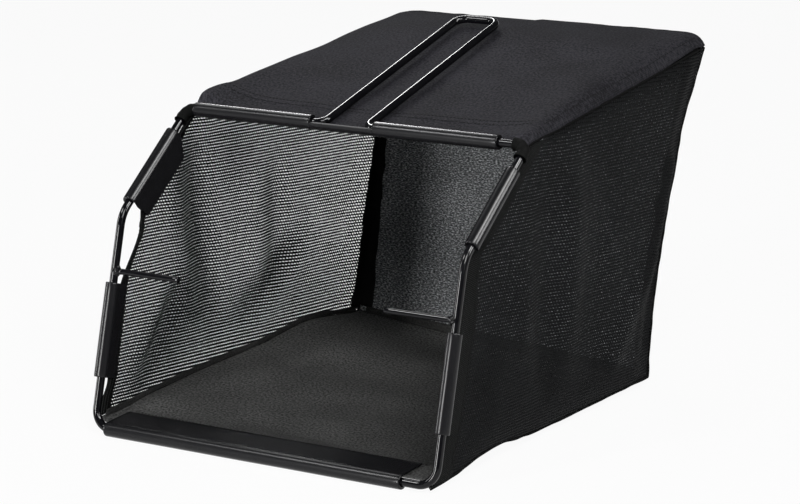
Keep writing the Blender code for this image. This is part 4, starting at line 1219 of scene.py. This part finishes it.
def build_stage():
    mesh = bpy.data.meshes.new("floor")
    size = 14.0
    mesh.from_pydata([(-size, -size, 0), (size, -size, 0), (size, size, 0), (-size, size, 0)], [],
                     [(0, 1, 2, 3)])
    ground = bpy.data.objects.new("floor", mesh)
    ground.location = (0, 0, -0.0002)
    bpy.context.scene.collection.objects.link(ground)
    material = bpy.data.materials.new("floor_paper")
    material.use_nodes = True
    tree = material.node_tree
    tree.nodes.clear()
    diffuse = add_node(tree, "ShaderNodeBsdfDiffuse", Color=(0.86, 0.86, 0.86, 1.0))
    glow = add_node(tree, "ShaderNodeEmission", Color=(1.0, 1.0, 1.0, 1.0), Strength=1.0)
    blend = tree.nodes.new("ShaderNodeMixShader")
    output = tree.nodes.new("ShaderNodeOutputMaterial")
    seen = white_for_views(tree)
    tree.links.new(math_node(tree, "MULTIPLY", seen, 0.94), blend.inputs["Fac"])
    tree.links.new(diffuse.outputs[0], blend.inputs[1])
    tree.links.new(glow.outputs[0], blend.inputs[2])
    tree.links.new(blend.outputs[0], output.inputs["Surface"])
    mesh.materials.append(material)


def build_world():
    world = bpy.data.worlds.new("studio")
    bpy.context.scene.world = world
    world.use_nodes = True
    tree = world.node_tree
    tree.nodes.clear()
    path = tree.nodes.new("ShaderNodeLightPath")
    seen = math_node(tree, "MAXIMUM", path.outputs["Is Camera Ray"], path.outputs["Is Transmission Ray"])
    soft = add_node(tree, "ShaderNodeBackground", Color=(0.92, 0.96, 1.0, 1.0), Strength=0.10)
    white = add_node(tree, "ShaderNodeBackground", Color=(1.0, 1.0, 1.0, 1.0), Strength=1.0)
    blend = tree.nodes.new("ShaderNodeMixShader")
    output = tree.nodes.new("ShaderNodeOutputWorld")
    tree.links.new(seen, blend.inputs["Fac"])
    tree.links.new(soft.outputs[0], blend.inputs[1])
    tree.links.new(white.outputs[0], blend.inputs[2])
    tree.links.new(blend.outputs[0], output.inputs["Surface"])


def add_lamp(name, place, target, size, power, reflection=False):
    """Area lamp; a reflection lamp only shows as a highlight and lights no cloth."""
    data = bpy.data.lights.new(name, "AREA")
    data.shape = "RECTANGLE"
    data.size = size[0]
    data.size_y = size[1]
    data.energy = power
    lamp = bpy.data.objects.new(name, data)
    bpy.context.scene.collection.objects.link(lamp)
    lamp.location = place
    lamp.rotation_euler = (Vector(target) - Vector(place)).to_track_quat("-Z", "Y").to_euler()
    if reflection:
        lamp.visible_diffuse = False
        lamp.visible_transmission = False


def build_lamps():
    centre = (0.0, 0.0, 0.14)
    add_lamp("key", (1.15, -1.15, 1.50), centre, (0.8, 0.8), 27.0)
    add_lamp("front", (-0.70, -2.6, 0.45), centre, (0.30, 0.8), 46.0)
    add_lamp("right", (2.2, -1.3, 1.3), centre, (0.22, 1.6), 4.0)
    add_lamp("rear", (-1.2, 0.7, 1.9), centre, (1.0, 0.6), 8.0)
    add_lamp("rim_reflection", (-1.7, 1.8, 1.95), centre, (0.5, 0.5), 19.0, True)
    add_lamp("over_reflection", (1.25, -0.14, 1.95), centre, (1.0, 0.6), 52.0, True)
    add_lamp("side_reflection", (1.9, 0.45, 1.15), centre, (0.7, 0.7), 32.0, True)
    add_lamp("left_reflection", (-2.2, -1.1, 0.55), centre, (0.22, 1.4), 26.0, True)
    add_lamp("pin_reflection", (-1.0, -1.15, 1.65), centre, (0.4, 0.4), 14.0, True)


bpy.context.scene.view_settings.view_transform = "Standard"
add_camera()
build_world()
build_stage()
build_lamps()
build_frame()
WRAPS = build_corner_wraps()
build_pins()
build_profiles()
TOP, FLOOR, BACK = build_panels()
for SIDE, LABEL in ((-1, "left"), (1, "right")):
    build_net(SIDE, LABEL)
    build_hem(SIDE, LABEL)
TAPES = build_tapes()
build_seam_rolls()
build_stitching()

for SIDE, LABEL in ((-1, "left"), (1, "right")):
    net_area(SIDE)
